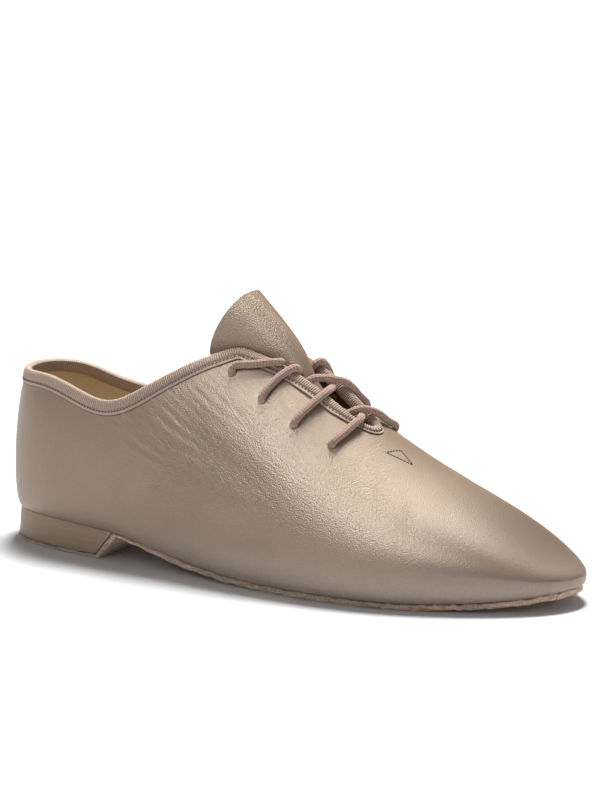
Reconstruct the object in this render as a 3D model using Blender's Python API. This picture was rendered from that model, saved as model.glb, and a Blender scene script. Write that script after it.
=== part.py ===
"""Jazz shoe for the right foot: a soft leather lace-up on a one-piece suede sole with a low heel.

The toe points along +X, +Y is the medial (inner) side and +Z is up. The origin is on the floor,
under the middle of the heel. Every piece is worked out from one form, which is the shape of the
last: ribs run from the plan outline, where the shoe is widest, up to the crown and down to the
edge of the sole.
"""

import math

import bmesh
import bpy
import numpy as np

# Driving dimensions, in metres
LENGTH = 0.250            # heel back to toe tip
BALL_WIDTH = 0.082        # across the ball
INSTEP_HEIGHT = 0.094     # floor to the top of the last at the ankle
HEEL_HEIGHT = 0.0130      # floor to the underside of the upper at the heel
TOE_SPRING = 0.0050       # how far the toe lifts off the floor
WALL = 0.0016             # leather and lining together
SOLE_THICKNESS = 0.0023   # suede under the forefoot
SUEDE_THICKNESS = 0.0013  # the same suede, skived thin, on the heel
LASTING_MARGIN = 0.0080   # leather turned in under the foot
INSOLE_THICKNESS = 0.0018
HEEL_FLARE = 0.0008       # how far the heel widens towards the floor
BREAST_SLOPE = 0.0078     # how far the heel's front leans forward, from floor to shank
TAPE_WIDTH = 0.0048       # binding, from the edge to its row of stitches and just past it
TAPE_THICKNESS = 0.0007
LACE_DIAMETER = 0.0028
LACE_HOLE_RADIUS = 0.0019
TONGUE_THICKNESS = 0.0013
SIZE_GAP = 0.0003         # clearance between two pieces that touch
SOLE_PROUD = -0.0002      # the sole stands this far outside the upper's bottom edge
SKIVE_LENGTH = 0.030      # over which the suede thickens from the heel to the shank

# Shares of the length
HEEL_CENTRE = 0.115       # the origin
BREAST_FOOT = 0.214       # front of the heel at the floor
HEEL_PIVOT = 0.125        # behind it the ribs fan out round the heel
PIVOT_BLEND = 0.030
THROAT_TURN = 0.618       # where the throat's sides start to close
THROAT_END = 0.652        # toe end of the throat
COLLAR_ROUNDING = 8.0     # degrees by which the collar's front corner is rounded

# The last, a row for each section. Length shares of LENGTH, widths of BALL_WIDTH and heights of
# INSTEP_HEIGHT; fall is the exponent of the curve from the widest point to the crown.
FORM_COLUMNS = ("at", "spine", "lateral", "medial", "level", "crown", "fall")
FORM = (
    (0.000, 0.000, 0.000, 0.000, 0.300, 1.060, 2.10),
    (0.060, 0.000, 0.283, 0.280, 0.306, 1.060, 2.10),
    (0.140, 0.000, 0.360, 0.365, 0.318, 1.060, 2.10),
    (0.260, 0.000, 0.390, 0.370, 0.315, 1.060, 2.10),
    (0.380, 0.000, 0.430, 0.370, 0.300, 1.005, 2.00),
    (0.480, 0.000, 0.472, 0.400, 0.268, 0.925, 1.90),
    (0.540, 0.003, 0.490, 0.427, 0.249, 0.850, 1.87),
    (0.600, 0.007, 0.505, 0.458, 0.227, 0.735, 1.85),
    (0.680, 0.016, 0.508, 0.490, 0.198, 0.590, 1.90),
    (0.760, 0.032, 0.484, 0.484, 0.172, 0.470, 2.00),
    (0.840, 0.058, 0.423, 0.430, 0.150, 0.365, 2.10),
    (0.910, 0.085, 0.333, 0.325, 0.137, 0.268, 2.20),
    (0.965, 0.107, 0.225, 0.195, 0.124, 0.187, 2.20),
    (1.000, 0.118, 0.000, 0.000, 0.118, 0.118, 2.20),
)

# The seat of the upper on the sole. Insets are shares of BALL_WIDTH, from the widest outline in to
# the sole's edge; heel_lift is a share of the heel's height over the sole, toe_lift of TOE_SPRING.
SEAT_COLUMNS = ("at", "inset_lateral", "inset_medial", "heel_lift", "toe_lift")
SEAT = (
    (0.000, 0.022, 0.022, 1.000, 0.000),
    (0.060, 0.046, 0.046, 0.985, 0.000),
    (0.140, 0.058, 0.060, 0.950, 0.000),
    (0.200, 0.056, 0.070, 0.900, 0.000),
    (0.245, 0.054, 0.085, 0.830, 0.000),
    (0.310, 0.050, 0.105, 0.560, 0.000),
    (0.400, 0.042, 0.115, 0.250, 0.000),
    (0.480, 0.038, 0.090, 0.065, 0.000),
    (0.560, 0.036, 0.055, 0.000, 0.000),
    (0.640, 0.036, 0.040, 0.000, 0.000),
    (0.760, 0.036, 0.036, 0.000, 0.000),
    (0.840, 0.036, 0.034, 0.000, 0.120),
    (0.920, 0.030, 0.030, 0.000, 0.430),
    (1.000, 0.020, 0.020, 0.000, 1.000),
)

# Top line of the leather, as heights above the floor in shares of INSTEP_HEIGHT
COLLAR_COLUMNS = ("at", "lateral", "medial")
COLLAR = (
    (0.000, 0.724, 0.724),
    (0.050, 0.734, 0.700),
    (0.110, 0.737, 0.640),
    (0.160, 0.712, 0.610),
    (0.200, 0.684, 0.596),
    (0.232, 0.676, 0.598),
    (0.270, 0.706, 0.632),
    (0.310, 0.768, 0.702),
    (0.350, 0.832, 0.786),
    (0.390, 0.890, 0.868),
    (0.430, 0.940, 0.932),
    (0.470, 0.985, 0.985),
)

# Half the throat's width, as shares of BALL_WIDTH, from the spine to the leather's edge
THROAT_COLUMNS = ("at", "half")
THROAT = (
    (0.360, 0.080),
    (0.420, 0.115),
    (0.480, 0.116),
    (0.540, 0.102),
    (0.600, 0.072),
    (0.652, 0.052),
)

# Crest of the tongue from its root under the vamp to its free end. Length shares of LENGTH,
# height of INSTEP_HEIGHT, half and depth of BALL_WIDTH; held is 1 where it lies against the
# inside of the upper and 0 where it stands free, and fall is the exponent of its section.
TONGUE_COLUMNS = ("at", "height", "half", "depth", "held", "fall")
TONGUE = (
    (0.712, 0.505, 0.200, 0.060, 1.0, 2.0),
    (0.680, 0.545, 0.150, 0.060, 1.0, 2.0),
    (0.642, 0.562, 0.080, 0.045, 0.5, 2.0),
    (0.622, 0.588, 0.052, 0.040, 0.0, 2.0),
    (0.604, 0.640, 0.046, 0.038, 0.0, 2.0),
    (0.576, 0.717, 0.040, 0.038, 0.0, 2.0),
    (0.552, 0.777, 0.040, 0.036, 0.0, 2.0),
    (0.528, 0.905, 0.045, 0.032, 0.0, 2.0),
    (0.504, 0.986, 0.074, 0.098, 0.0, 2.2),
    (0.470, 1.070, 0.105, 0.240, 0.0, 2.6),
    (0.430, 1.158, 0.156, 0.390, 0.0, 2.8),
)
TONGUE_CORNER = 0.12      # share of its length by which the free end's corners are rounded off
TONGUE_SKEW = 0.010       # share by which the end reaches further on the lateral side

# Lace holes as (share of LENGTH, share of BALL_WIDTH from the spine), toe end first
HOLES_LATERAL = ((0.628, -0.247), (0.568, -0.284), (0.508, -0.278), (0.445, -0.240))
HOLES_MEDIAL = ((0.644, 0.225), (0.586, 0.252), (0.524, 0.262), (0.458, 0.240))

# Paths of the lace's runs: (share of LENGTH, share of BALL_WIDTH, lift over the leather's outer
# face in lace diameters). Each run leaves a hole on the outside, crosses the throat and goes
# in under the other side towards the next hole up.
OVER_LATERAL_1 = (
    (0.629, -0.235, 0.72), (0.632, -0.190, 1.00), (0.634, -0.130, 1.10), (0.635, -0.080, 1.15),
    (0.634, -0.045, 1.00), (0.630, -0.012, 0.40), (0.626, 0.018, -0.30), (0.622, 0.030, -1.30),
    (0.617, 0.052, -1.85), (0.608, 0.100, -1.95),
)
OVER_MEDIAL_1 = (
    (0.645, 0.213, 0.72), (0.643, 0.170, 1.00), (0.639, 0.120, 1.20), (0.634, 0.080, 1.25),
    (0.628, 0.045, 1.02), (0.621, 0.015, 0.45), (0.616, -0.012, -0.45), (0.611, -0.030, -1.40),
    (0.605, -0.055, -1.90), (0.596, -0.100, -2.00),
)
OVER_LATERAL_2 = (
    (0.569, -0.272, 0.72), (0.573, -0.215, 1.00), (0.577, -0.155, 1.12), (0.579, -0.105, 1.15),
    (0.579, -0.080, 0.98), (0.578, -0.045, 0.45), (0.576, -0.005, 0.15), (0.573, 0.030, -0.25),
    (0.569, 0.052, -1.30), (0.564, 0.085, -1.85), (0.552, 0.150, -1.92),
)
OVER_MEDIAL_2 = (
    (0.587, 0.240, 0.72), (0.586, 0.190, 1.00), (0.583, 0.140, 1.20), (0.579, 0.100, 1.25),
    (0.575, 0.075, 1.00), (0.570, 0.040, 0.50), (0.563, 0.000, 0.15), (0.555, -0.035, -0.35),
    (0.548, -0.058, -1.30), (0.541, -0.088, -1.85), (0.530, -0.150, -1.95),
)
OVER_LATERAL_3 = (
    (0.509, -0.266, 0.72), (0.513, -0.220, 1.00), (0.519, -0.165, 1.12), (0.525, -0.120, 1.08),
    (0.528, -0.095, 0.98), (0.530, -0.078, 0.50), (0.530, -0.068, -0.45), (0.529, -0.055, -1.30),
    (0.526, -0.030, -1.70), (0.521, 0.030, -1.75), (0.516, 0.090, -1.80), (0.502, 0.160, -1.95),
)
OVER_MEDIAL_3 = (
    (0.525, 0.250, 0.72), (0.527, 0.210, 1.00), (0.529, 0.165, 1.12), (0.530, 0.120, 1.08),
    (0.530, 0.095, 0.98), (0.529, 0.078, 0.50), (0.527, 0.068, -0.45), (0.524, 0.055, -1.30),
    (0.519, 0.030, -1.70), (0.513, -0.030, -1.75), (0.506, -0.090, -1.80), (0.495, -0.160, -1.95),
)
END_LATERAL = (
    (0.446, -0.228, 0.72), (0.455, -0.210, 0.95), (0.474, -0.183, 1.05), (0.490, -0.155, 1.10),
    (0.503, -0.128, 1.10), (0.513, -0.102, 1.00),
)
END_MEDIAL = (
    (0.459, 0.228, 0.72), (0.467, 0.205, 0.98), (0.478, 0.180, 1.08), (0.490, 0.155, 1.10),
    (0.500, 0.130, 1.10), (0.507, 0.105, 1.02),
)

# Smoothness of the solids
RIB_STRETCHES = ((0.25, 10), (0.48, 11), (THROAT_TURN, 5))
RIBS_THROAT_END = 5
RIBS_FRONT = 14
ROWS_UP = 8
ROWS_DOWN = 4
PLATE_ROWS = 34
TONGUE_ROWS = 20
TONGUE_LANES = 14
LACE_SIDES = 8
LACE_RINGS = 20
OUTLINE_SAMPLES = 400
TINY = 1e-5

COLOURS = {
    "leather": ((0.348, 0.235, 0.170), 0.45),
    "binding": ((0.270, 0.185, 0.155), 0.80),
    "suede": ((0.400, 0.275, 0.195), 0.95),
    "heel": ((0.190, 0.135, 0.090), 0.50),
    "insole": ((0.330, 0.235, 0.110), 0.70),
    "lace": ((0.250, 0.150, 0.120), 0.85),
}


def spline(knots, values, at):
    """Natural cubic spline through (knots, values)."""
    knots = np.asarray(knots, float)
    values = np.asarray(values, float)
    at = np.asarray(at, float)
    step = np.diff(knots)
    count = len(knots)
    matrix = np.eye(count)
    right = np.zeros(count)
    for i in range(1, count - 1):
        matrix[i, i - 1:i + 2] = step[i - 1], 2 * (step[i - 1] + step[i]), step[i]
        slopes = (values[i + 1] - values[i]) / step[i], (values[i] - values[i - 1]) / step[i - 1]
        right[i] = 6 * (slopes[0] - slopes[1])
    bend = np.linalg.solve(matrix, right)
    i = np.clip(np.searchsorted(knots, at) - 1, 0, count - 2)
    after = at - knots[i]
    before = knots[i + 1] - at
    wide = step[i]
    curve = (bend[i] * before**3 + bend[i + 1] * after**3) / (6 * wide)
    curve += (values[i] / wide - bend[i] * wide / 6) * before
    return curve + (values[i + 1] / wide - bend[i + 1] * wide / 6) * after


def eased(knots, values, at):
    """Curve through (knots, values) that never overshoots, so that level stretches stay level."""
    knots = np.asarray(knots, float)
    values = np.asarray(values, float)
    at = np.clip(np.asarray(at, float), knots[0], knots[-1])
    slope = np.diff(values) / np.diff(knots)
    tangent = np.zeros(len(knots))
    same = slope[1:] * slope[:-1] > 0
    total = np.where(same, slope[1:] + slope[:-1], 1.0)
    tangent[1:-1] = np.where(same, 2 * slope[1:] * slope[:-1] / total, 0.0)
    tangent[0] = slope[0]
    tangent[-1] = slope[-1]
    i = np.clip(np.searchsorted(knots, at) - 1, 0, len(knots) - 2)
    wide = knots[i + 1] - knots[i]
    t = (at - knots[i]) / wide
    start = values[i] * (1 + 2 * t) * (1 - t)**2 + tangent[i] * wide * t * (1 - t)**2
    return start + values[i + 1] * t**2 * (3 - 2 * t) + tangent[i + 1] * wide * t**2 * (t - 1)


def column(table, names, name):
    """One named column of a table."""
    place = names.index(name)
    return [row[place] for row in table]


def turn_of(at):
    """Position round the plan, 0 at the heel's back and 1 at the toe's tip, from a length share."""
    return np.arccos(1 - 2 * np.clip(at, 0, 1)) / math.pi


def at_of(turn):
    """Length share from the position round the plan."""
    return (1 - np.cos(math.pi * turn)) / 2


FORM_KNOTS = turn_of(np.array(column(FORM, FORM_COLUMNS, "at")))
SEAT_KNOTS = column(SEAT, SEAT_COLUMNS, "at")


def form(name, turn):
    """A column of the last at a position round the plan."""
    return spline(FORM_KNOTS, column(FORM, FORM_COLUMNS, name), turn)


def seat(name, at):
    """A column of the seat at a length share."""
    return eased(SEAT_KNOTS, column(SEAT, SEAT_COLUMNS, name), at)


def underside(x):
    """Height of the upper's underside, which is the top of the sole, at x from the heel's back."""
    at = np.asarray(x) / LENGTH
    heel = (HEEL_HEIGHT - SOLE_THICKNESS - SIZE_GAP) * seat("heel_lift", at)
    return SOLE_THICKNESS + SIZE_GAP + heel + TOE_SPRING * seat("toe_lift", at)


def by_side(side, lateral, medial):
    """Takes the medial value where side is above 0, and else the lateral one."""
    return np.where(side > 0, medial, lateral)


def widest(turn, side):
    """Plan outline where the shoe is widest, as (x, y)."""
    reach = by_side(side, form("lateral", turn), form("medial", turn))
    y = BALL_WIDTH * (form("spine", turn) + side * np.maximum(reach, 0))
    return LENGTH * at_of(turn), y


def inward(turn, side):
    """Unit vector in plan, from the widest outline towards the inside."""
    step = 1e-4
    low = np.clip(turn - step, 0, 1)
    high = np.clip(turn + step, 0, 1)
    x0, y0 = widest(low, side)
    x1, y1 = widest(high, side)
    dx = x1 - x0
    dy = y1 - y0
    size = np.hypot(dx, dy)
    # At the two ends the outline runs straight across, whatever the step gives.
    ends = (turn < step) | (turn > 1 - step)
    nx = np.where(ends, np.where(turn < 0.5, 1.0, -1.0), side * dy / size)
    ny = np.where(ends, 0.0, -side * dx / size)
    return nx, ny


def inset_at(turn, side):
    """Distance from the widest outline in to the edge of the sole."""
    at = at_of(turn)
    return BALL_WIDTH * by_side(side, seat("inset_lateral", at), seat("inset_medial", at))


def sole_line(turn, side, extra=0.0):
    """Plan point of the upper's bottom edge, or of a line that lies extra inside it."""
    x, y = widest(turn, side)
    nx, ny = inward(turn, side)
    inset = inset_at(turn, side) + extra
    return x + inset * nx, y + inset * ny


def skin(turn, lap):
    """Outer face of the upper. lap runs over the foot: -90 the lateral bottom edge, 0 the lateral
    widest point, 90 the crown, 180 the medial widest point and 270 the medial bottom edge."""
    turn, lap = np.broadcast_arrays(np.asarray(turn, float), np.asarray(lap, float))
    # Past either end the surface goes on round the other side.
    past = (turn < 0) | (turn > 1)
    lap = np.where(past, 180 - lap, lap)
    turn = np.where(turn < 0, -turn, np.where(turn > 1, 2 - turn, turn))
    side = np.where(lap > 90, 1.0, -1.0)
    rise = np.radians(np.where(lap > 90, 180 - lap, lap))
    at = at_of(turn)
    x, y = widest(turn, side)
    centre = 0.5 * (at + HEEL_PIVOT + np.sqrt((at - HEEL_PIVOT)**2 + PIVOT_BLEND**2))
    centre = np.minimum(centre, 1.0)
    to_x = LENGTH * centre - x
    to_y = BALL_WIDTH * form("spine", turn_of(centre)) - y
    level = INSTEP_HEIGHT * form("level", turn)
    crown = INSTEP_HEIGHT * form("crown", turn)
    power = 2 / form("fall", turn)
    share = 1 - np.abs(np.cos(rise))**power
    up = np.stack([x + share * to_x, y + share * to_y,
                   level + (crown - level) * np.abs(np.sin(rise))**power], -1)
    nx, ny = inward(turn, side)
    inset = inset_at(turn, side)
    foot = underside(x + inset * nx)
    tucked = inset * (1 - np.abs(np.cos(rise))**(2 / 2.4))
    drop = np.abs(np.sin(rise))**(2 / 2.4)
    down = np.stack([x + tucked * nx, y + tucked * ny, level - (level - foot) * drop], -1)
    return np.where((rise >= 0)[..., None], up, down)


def skin_normal(turn, lap):
    """Outward unit normal of the upper's outer face."""
    turn, lap = np.broadcast_arrays(np.asarray(turn, float), np.asarray(lap, float))
    along = skin(turn + 1e-3, lap) - skin(turn - 1e-3, lap)
    over = skin(turn, lap + 0.2) - skin(turn, lap - 0.2)
    normal = np.cross(along, over)
    size = np.linalg.norm(normal, axis=-1, keepdims=True)
    # At the toe's tip the ribs meet in one point, which faces straight ahead.
    tip = ((turn > 1 - 1e-3) & (np.abs(lap - 90) < 90.5))[..., None]
    normal = normal / np.maximum(size, 1e-12)
    normal = np.where(tip, np.array([1.0, 0.0, 0.0]), normal)
    # Underneath, the turned-in edge faces the floor.
    under = ((lap <= -90) | (lap >= 270))[..., None]
    return np.where(under, np.array([0.0, 0.0, -1.0]), normal)


def edge_lap(turn, side):
    """Angle of the leather's top edge above the widest point: the collar, then the throat."""
    at = at_of(turn)
    names = COLLAR_COLUMNS
    knots = column(COLLAR, names, "at")
    lateral = spline(knots, column(COLLAR, names, "lateral"), np.minimum(at, knots[-1]))
    medial = spline(knots, column(COLLAR, names, "medial"), np.minimum(at, knots[-1]))
    height = INSTEP_HEIGHT * by_side(side, lateral, medial)
    level = INSTEP_HEIGHT * form("level", turn)
    crown = INSTEP_HEIGHT * form("crown", turn)
    power = form("fall", turn) / 2
    share = np.clip((height - level) / np.maximum(crown - level, TINY), 0, 1)
    collar = np.degrees(np.arcsin(share**power))
    # In front of its last row the collar's line has left the throat to itself.
    collar = np.where(at > knots[-2], np.maximum(collar, 60 + 900 * (at - knots[-2])), collar)
    knots = column(THROAT, THROAT_COLUMNS, "at")
    half = spline(knots, column(THROAT, THROAT_COLUMNS, "half"), np.maximum(at, knots[0]))
    close = np.clip((at - THROAT_TURN) / (THROAT_END - THROAT_TURN), 0, 1)
    half = half * np.sqrt(1 - close**2)
    reach = by_side(side, form("lateral", turn), form("medial", turn))
    share = np.clip(half / np.maximum(reach, 1e-6), 0, 1)
    throat = np.degrees(np.arccos(share**power))
    throat = np.where(at < knots[0], 90.0, throat)
    rounding = np.where(at < knots[0], 0.0, COLLAR_ROUNDING)
    smooth = 0.5 * (collar + throat - np.sqrt((collar - throat)**2 + rounding**2))
    return np.where(at > 0.5, throat, np.where(at < knots[0], collar, smooth))


def lap_on(side, angle):
    """lap from an angle above the widest point on one side."""
    return by_side(side, angle, 180 - angle)


def roof(x, y):
    """Height of the closed form over a plan point in front of the ankle."""
    turn = turn_of(x / LENGTH)
    spine = BALL_WIDTH * form("spine", turn)
    side = np.where(y > spine, 1.0, -1.0)
    reach = BALL_WIDTH * by_side(side, form("lateral", turn), form("medial", turn))
    level = INSTEP_HEIGHT * form("level", turn)
    crown = INSTEP_HEIGHT * form("crown", turn)
    fall = form("fall", turn)
    share = np.clip(np.abs(y - spine) / reach, 0, 1)**fall
    return level + (crown - level) * (1 - share)**(1 / fall)


def over(at, across, lift):
    """A point over the leather: shares of LENGTH and BALL_WIDTH, and metres along the normal."""
    x = LENGTH * np.asarray(at, float)
    y = BALL_WIDTH * np.asarray(across, float)
    step = 2e-4
    slope_x = (roof(x + step, y) - roof(x - step, y)) / (2 * step)
    slope_y = (roof(x, y + step) - roof(x, y - step)) / (2 * step)
    normal = np.stack([-slope_x, -slope_y, np.ones_like(x)], -1)
    normal = normal / np.linalg.norm(normal, axis=-1, keepdims=True)
    return np.stack([x, y, roof(x, y)], -1) + np.asarray(lift)[..., None] * normal


def curve_through(points, count):
    """count points evenly along a smooth curve through a few."""
    points = np.asarray(points, float)
    knots = np.concatenate([[0], np.cumsum(np.linalg.norm(np.diff(points, axis=0), axis=1))])
    fine = np.linspace(0, knots[-1], 20 * count)
    curve = np.stack([spline(knots, points[:, i], fine) for i in range(3)], -1)
    walked = np.concatenate([[0], np.cumsum(np.linalg.norm(np.diff(curve, axis=0), axis=1))])
    even = np.linspace(0, walked[-1], count)
    return np.stack([np.interp(even, walked, curve[:, i]) for i in range(3)], -1)


def clear_scene():
    for item in list(bpy.data.objects):
        bpy.data.objects.remove(item, do_unlink=True)


def material(name):
    found = bpy.data.materials.get(name)
    if found:
        return found
    colour, roughness = COLOURS[name]
    made = bpy.data.materials.new(name)
    made.use_nodes = True
    shader = made.node_tree.nodes["Principled BSDF"]
    shader.inputs["Base Color"].default_value = (*colour, 1.0)
    shader.inputs["Roughness"].default_value = roughness
    shader.inputs["Metallic"].default_value = 0.0
    return made


def finish_mesh(name, mesh_maker, finish):
    """Welds a bmesh, points its faces outwards and makes it an object in the shoe's frame."""
    bmesh.ops.remove_doubles(mesh_maker, verts=mesh_maker.verts, dist=TINY)
    loose = [face for face in mesh_maker.faces if face.calc_area() < 1e-12]
    bmesh.ops.delete(mesh_maker, geom=loose, context="FACES")
    bmesh.ops.translate(mesh_maker, verts=mesh_maker.verts, vec=(-HEEL_CENTRE * LENGTH, 0, 0))
    bmesh.ops.recalc_face_normals(mesh_maker, faces=mesh_maker.faces)
    mesh = bpy.data.meshes.new(name)
    mesh_maker.to_mesh(mesh)
    mesh_maker.free()
    mesh.shade_smooth()
    mesh.set_sharp_from_angle(angle=math.radians(40))
    mesh.materials.append(material(finish))
    made = bpy.data.objects.new(name, mesh)
    bpy.context.scene.collection.objects.link(made)
    return made


def add_grid(mesh_maker, points):
    """Vertices of a grid of points, as rows of BMVerts."""
    return [[mesh_maker.verts.new(point) for point in row] for row in points]


def add_face(mesh_maker, corners):
    """A face through corners, leaving out any that lie on the one before."""
    kept = []
    for corner in corners:
        if all((corner.co - other.co).length > TINY for other in kept):
            kept.append(corner)
    if len(kept) > 2:
        mesh_maker.faces.new(kept)


def bridge(mesh_maker, first, second, closed=False):
    """Faces between two rows of vertices."""
    count = len(first)
    for i in range(count if closed else count - 1):
        j = (i + 1) % count
        add_face(mesh_maker, (first[i], first[j], second[j], second[i]))


def rib_turns():
    """Positions of the ribs, closer together round the collar's corner and the throat's end."""
    turns = [0.0]
    for at, ribs in RIB_STRETCHES:
        turns += list(np.linspace(turns[-1], float(turn_of(at)), ribs + 1)[1:])
    arc = np.sin(np.linspace(0, math.pi / 2, RIBS_THROAT_END))[1:]
    close = turn_of(THROAT_TURN + (THROAT_END - THROAT_TURN) * arc)
    front = np.linspace(close[-1], 1, RIBS_FRONT)[1:]
    return np.concatenate([turns, close, front])


def upper_side(side):
    """Outer and inner faces of one side of the upper, as two grids, ribs by rows."""
    turns = rib_turns()
    edge = edge_lap(turns, side)
    edge = np.where(at_of(turns) > THROAT_END - 1e-6, 90.0, edge)
    up = np.linspace(1, 0, ROWS_UP)[None, :] * edge[:, None]
    # Rows gather towards the bottom edge, where the leather turns under.
    down = -90 * np.linspace(0, 1, ROWS_DOWN + 1)[1:]
    down = np.broadcast_to(down, (len(turns), ROWS_DOWN))
    laps = lap_on(side, np.concatenate([up, down], 1))
    outer = skin(turns[:, None], laps)
    inner = outer - WALL * skin_normal(turns[:, None], laps)
    x, y = sole_line(turns, side, LASTING_MARGIN)
    turned = np.stack([x, y, underside(x)], -1)[:, None, :]
    lining = turned + np.array([0, 0, WALL])
    return np.concatenate([outer, turned], 1), np.concatenate([inner, lining], 1)


def make_hole_cutter():
    """Drills through the leather for the lace, square to its face."""
    mesh_maker = bmesh.new()
    for at, across in HOLES_LATERAL + HOLES_MEDIAL:
        ring = []
        for lift in (2 * WALL, -3 * WALL):
            foot = over(np.array([at]), np.array([across]), np.array([0.0]))[0]
            tip = over(np.array([at]), np.array([across]), np.array([lift]))[0]
            axis = (foot - tip) * (1 if lift > 0 else -1)
            axis = axis / np.linalg.norm(axis)
            first = np.cross(axis, (0, 1, 0))
            first = first / np.linalg.norm(first)
            second = np.cross(axis, first)
            angles = np.linspace(0, 2 * math.pi, 11)[:-1]
            circle = np.outer(np.cos(angles), first) + np.outer(np.sin(angles), second)
            ring.append([mesh_maker.verts.new(tip + LACE_HOLE_RADIUS * c) for c in circle])
        bridge(mesh_maker, ring[0], ring[1], closed=True)
        mesh_maker.faces.new(ring[0])
        mesh_maker.faces.new(ring[1][::-1])
    cutter = finish_mesh("lace_hole_cutter", mesh_maker, "leather")
    cutter.hide_render = True
    cutter.display_type = "WIRE"
    return cutter


def make_upper():
    """One hollow shell: open at the collar, down the throat and underneath."""
    mesh_maker = bmesh.new()
    open_ribs = int(np.sum(at_of(rib_turns()) < THROAT_END - 1e-6)) + 1
    for side in (-1.0, 1.0):
        outer, inner = upper_side(side)
        outer = add_grid(mesh_maker, outer)
        inner = add_grid(mesh_maker, inner)
        for first, second in zip(outer, outer[1:]):
            bridge(mesh_maker, first, second)
        for first, second in zip(inner, inner[1:]):
            bridge(mesh_maker, first, second)
        bridge(mesh_maker, [row[0] for row in outer[:open_ribs]],
               [row[0] for row in inner[:open_ribs]])
        bridge(mesh_maker, [row[-1] for row in outer], [row[-1] for row in inner])
    upper = finish_mesh("upper", mesh_maker, "leather")
    cut = upper.modifiers.new("lace holes", "BOOLEAN")
    cut.operation = "DIFFERENCE"
    cut.object = make_hole_cutter()
    return upper


def outline(side, extra):
    """The sole's outline on one side, moved in by extra, as arrays of x and y."""
    return sole_line(np.linspace(0, 1, OUTLINE_SAMPLES), side, extra)


def ends_of(extra):
    """First and last x of the sole's outline moved in by extra."""
    x, _ = outline(1.0, extra)
    return float(x[0]), float(x[-1])


def on_outline(side, place):
    """A point of a plate's rim from (x, z, distance inside the sole's line)."""
    x, z, extra = place
    return x, float(np.interp(x, *outline(side, extra))), z


def plate(name, finish, tops, lows):
    """A solid between two rows of places (x, z, distance inside the sole's line), which run from
    the heel to the toe. Where the outline has closed, a row is a single point."""
    mesh_maker = bmesh.new()
    rims = []
    for side in (-1.0, 1.0):
        for places in (tops, lows):
            rims += add_grid(mesh_maker, [[on_outline(side, place) for place in places]])
    top_left, low_left, top_right, low_right = rims
    bridge(mesh_maker, top_left, top_right)
    bridge(mesh_maker, low_left, low_right)
    bridge(mesh_maker, top_left, low_left)
    bridge(mesh_maker, top_right, low_right)
    for end in (0, -1):
        add_face(mesh_maker, (top_left[end], top_right[end], low_right[end], low_left[end]))
    return finish_mesh(name, mesh_maker, finish)


def spread(start, end, count, bunch_start, bunch_end):
    """count places from start to end, closer together at a round end."""
    t = np.linspace(0, 1, count)
    if bunch_start and bunch_end:
        t = (1 - np.cos(math.pi * t)) / 2
    elif bunch_start:
        t = 1 - np.cos(0.5 * math.pi * t)
    elif bunch_end:
        t = np.sin(0.5 * math.pi * t)
    return start + (end - start) * t


def make_outsole():
    """One piece of suede: forefoot, shank, down the heel's front and back under the heel."""
    flared = SOLE_PROUD - HEEL_FLARE
    foot = BREAST_FOOT * LENGTH
    high = foot + BREAST_SLOPE
    shank = float(underside(high)) - SIZE_GAP
    tops = []
    lows = []
    behind = foot - SUEDE_THICKNESS
    for x in spread(ends_of(flared)[0], behind, PLATE_ROWS // 2, True, False):
        tops.append((x, SUEDE_THICKNESS, flared))
        lows.append((x, 0.0, flared))
    lows[-1] = (foot, 0.0, flared)
    tops.append((high - SUEDE_THICKNESS, shank, SOLE_PROUD))
    lows.append((high + SUEDE_THICKNESS / 2, shank - SUEDE_THICKNESS, SOLE_PROUD))
    for x in spread(high + 2 * SUEDE_THICKNESS, ends_of(SOLE_PROUD)[1], PLATE_ROWS, False, True):
        top = float(underside(x)) - SIZE_GAP
        # The suede is skived thin where it turns down the heel.
        skived = (high, high + SKIVE_LENGTH)
        full = float(eased(skived, (SUEDE_THICKNESS, SOLE_THICKNESS), x))
        tops.append((x, top, SOLE_PROUD))
        lows.append((x, top - full, SOLE_PROUD))
    return plate("outsole", "suede", tops, lows)


def make_heel():
    """Low heel block between the upper's seat and the suede, its front leaning forward."""
    flared = SOLE_PROUD - HEEL_FLARE
    low = SUEDE_THICKNESS + SIZE_GAP
    front = BREAST_FOOT * LENGTH - low
    high = front + BREAST_SLOPE
    tops = []
    lows = []
    for x in spread(ends_of(SOLE_PROUD)[0], high, PLATE_ROWS // 2, True, False):
        tops.append((x, float(underside(x)) - SIZE_GAP, SOLE_PROUD))
    for x in spread(ends_of(flared)[0], front, PLATE_ROWS // 2, True, False):
        lows.append((x, low, flared))
    return plate("heel_block", "heel", tops, lows)


def make_insole():
    """Thin board on top of the turned-in leather."""
    inside = WALL + 2 * SIZE_GAP
    tops = []
    lows = []
    for x in spread(*ends_of(inside), PLATE_ROWS, True, True):
        low = float(underside(x)) + WALL + SIZE_GAP
        tops.append((x, low + INSOLE_THICKNESS, inside))
        lows.append((x, low, inside))
    return plate("insole", "insole", tops, lows)


def edge_path():
    """Stations round the leather's top edge: heel back, lateral side, throat end, medial side."""
    turns = rib_turns()
    turns = turns[at_of(turns) < THROAT_END + 1e-6]
    lateral = edge_lap(turns, -1.0)
    lateral[-1] = 90.0
    medial = edge_lap(turns, 1.0)
    there = np.stack([turns, lateral], -1)
    back = np.stack([turns, 180 - medial], -1)[::-1][1:-1]
    return np.concatenate([there, back])


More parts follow.
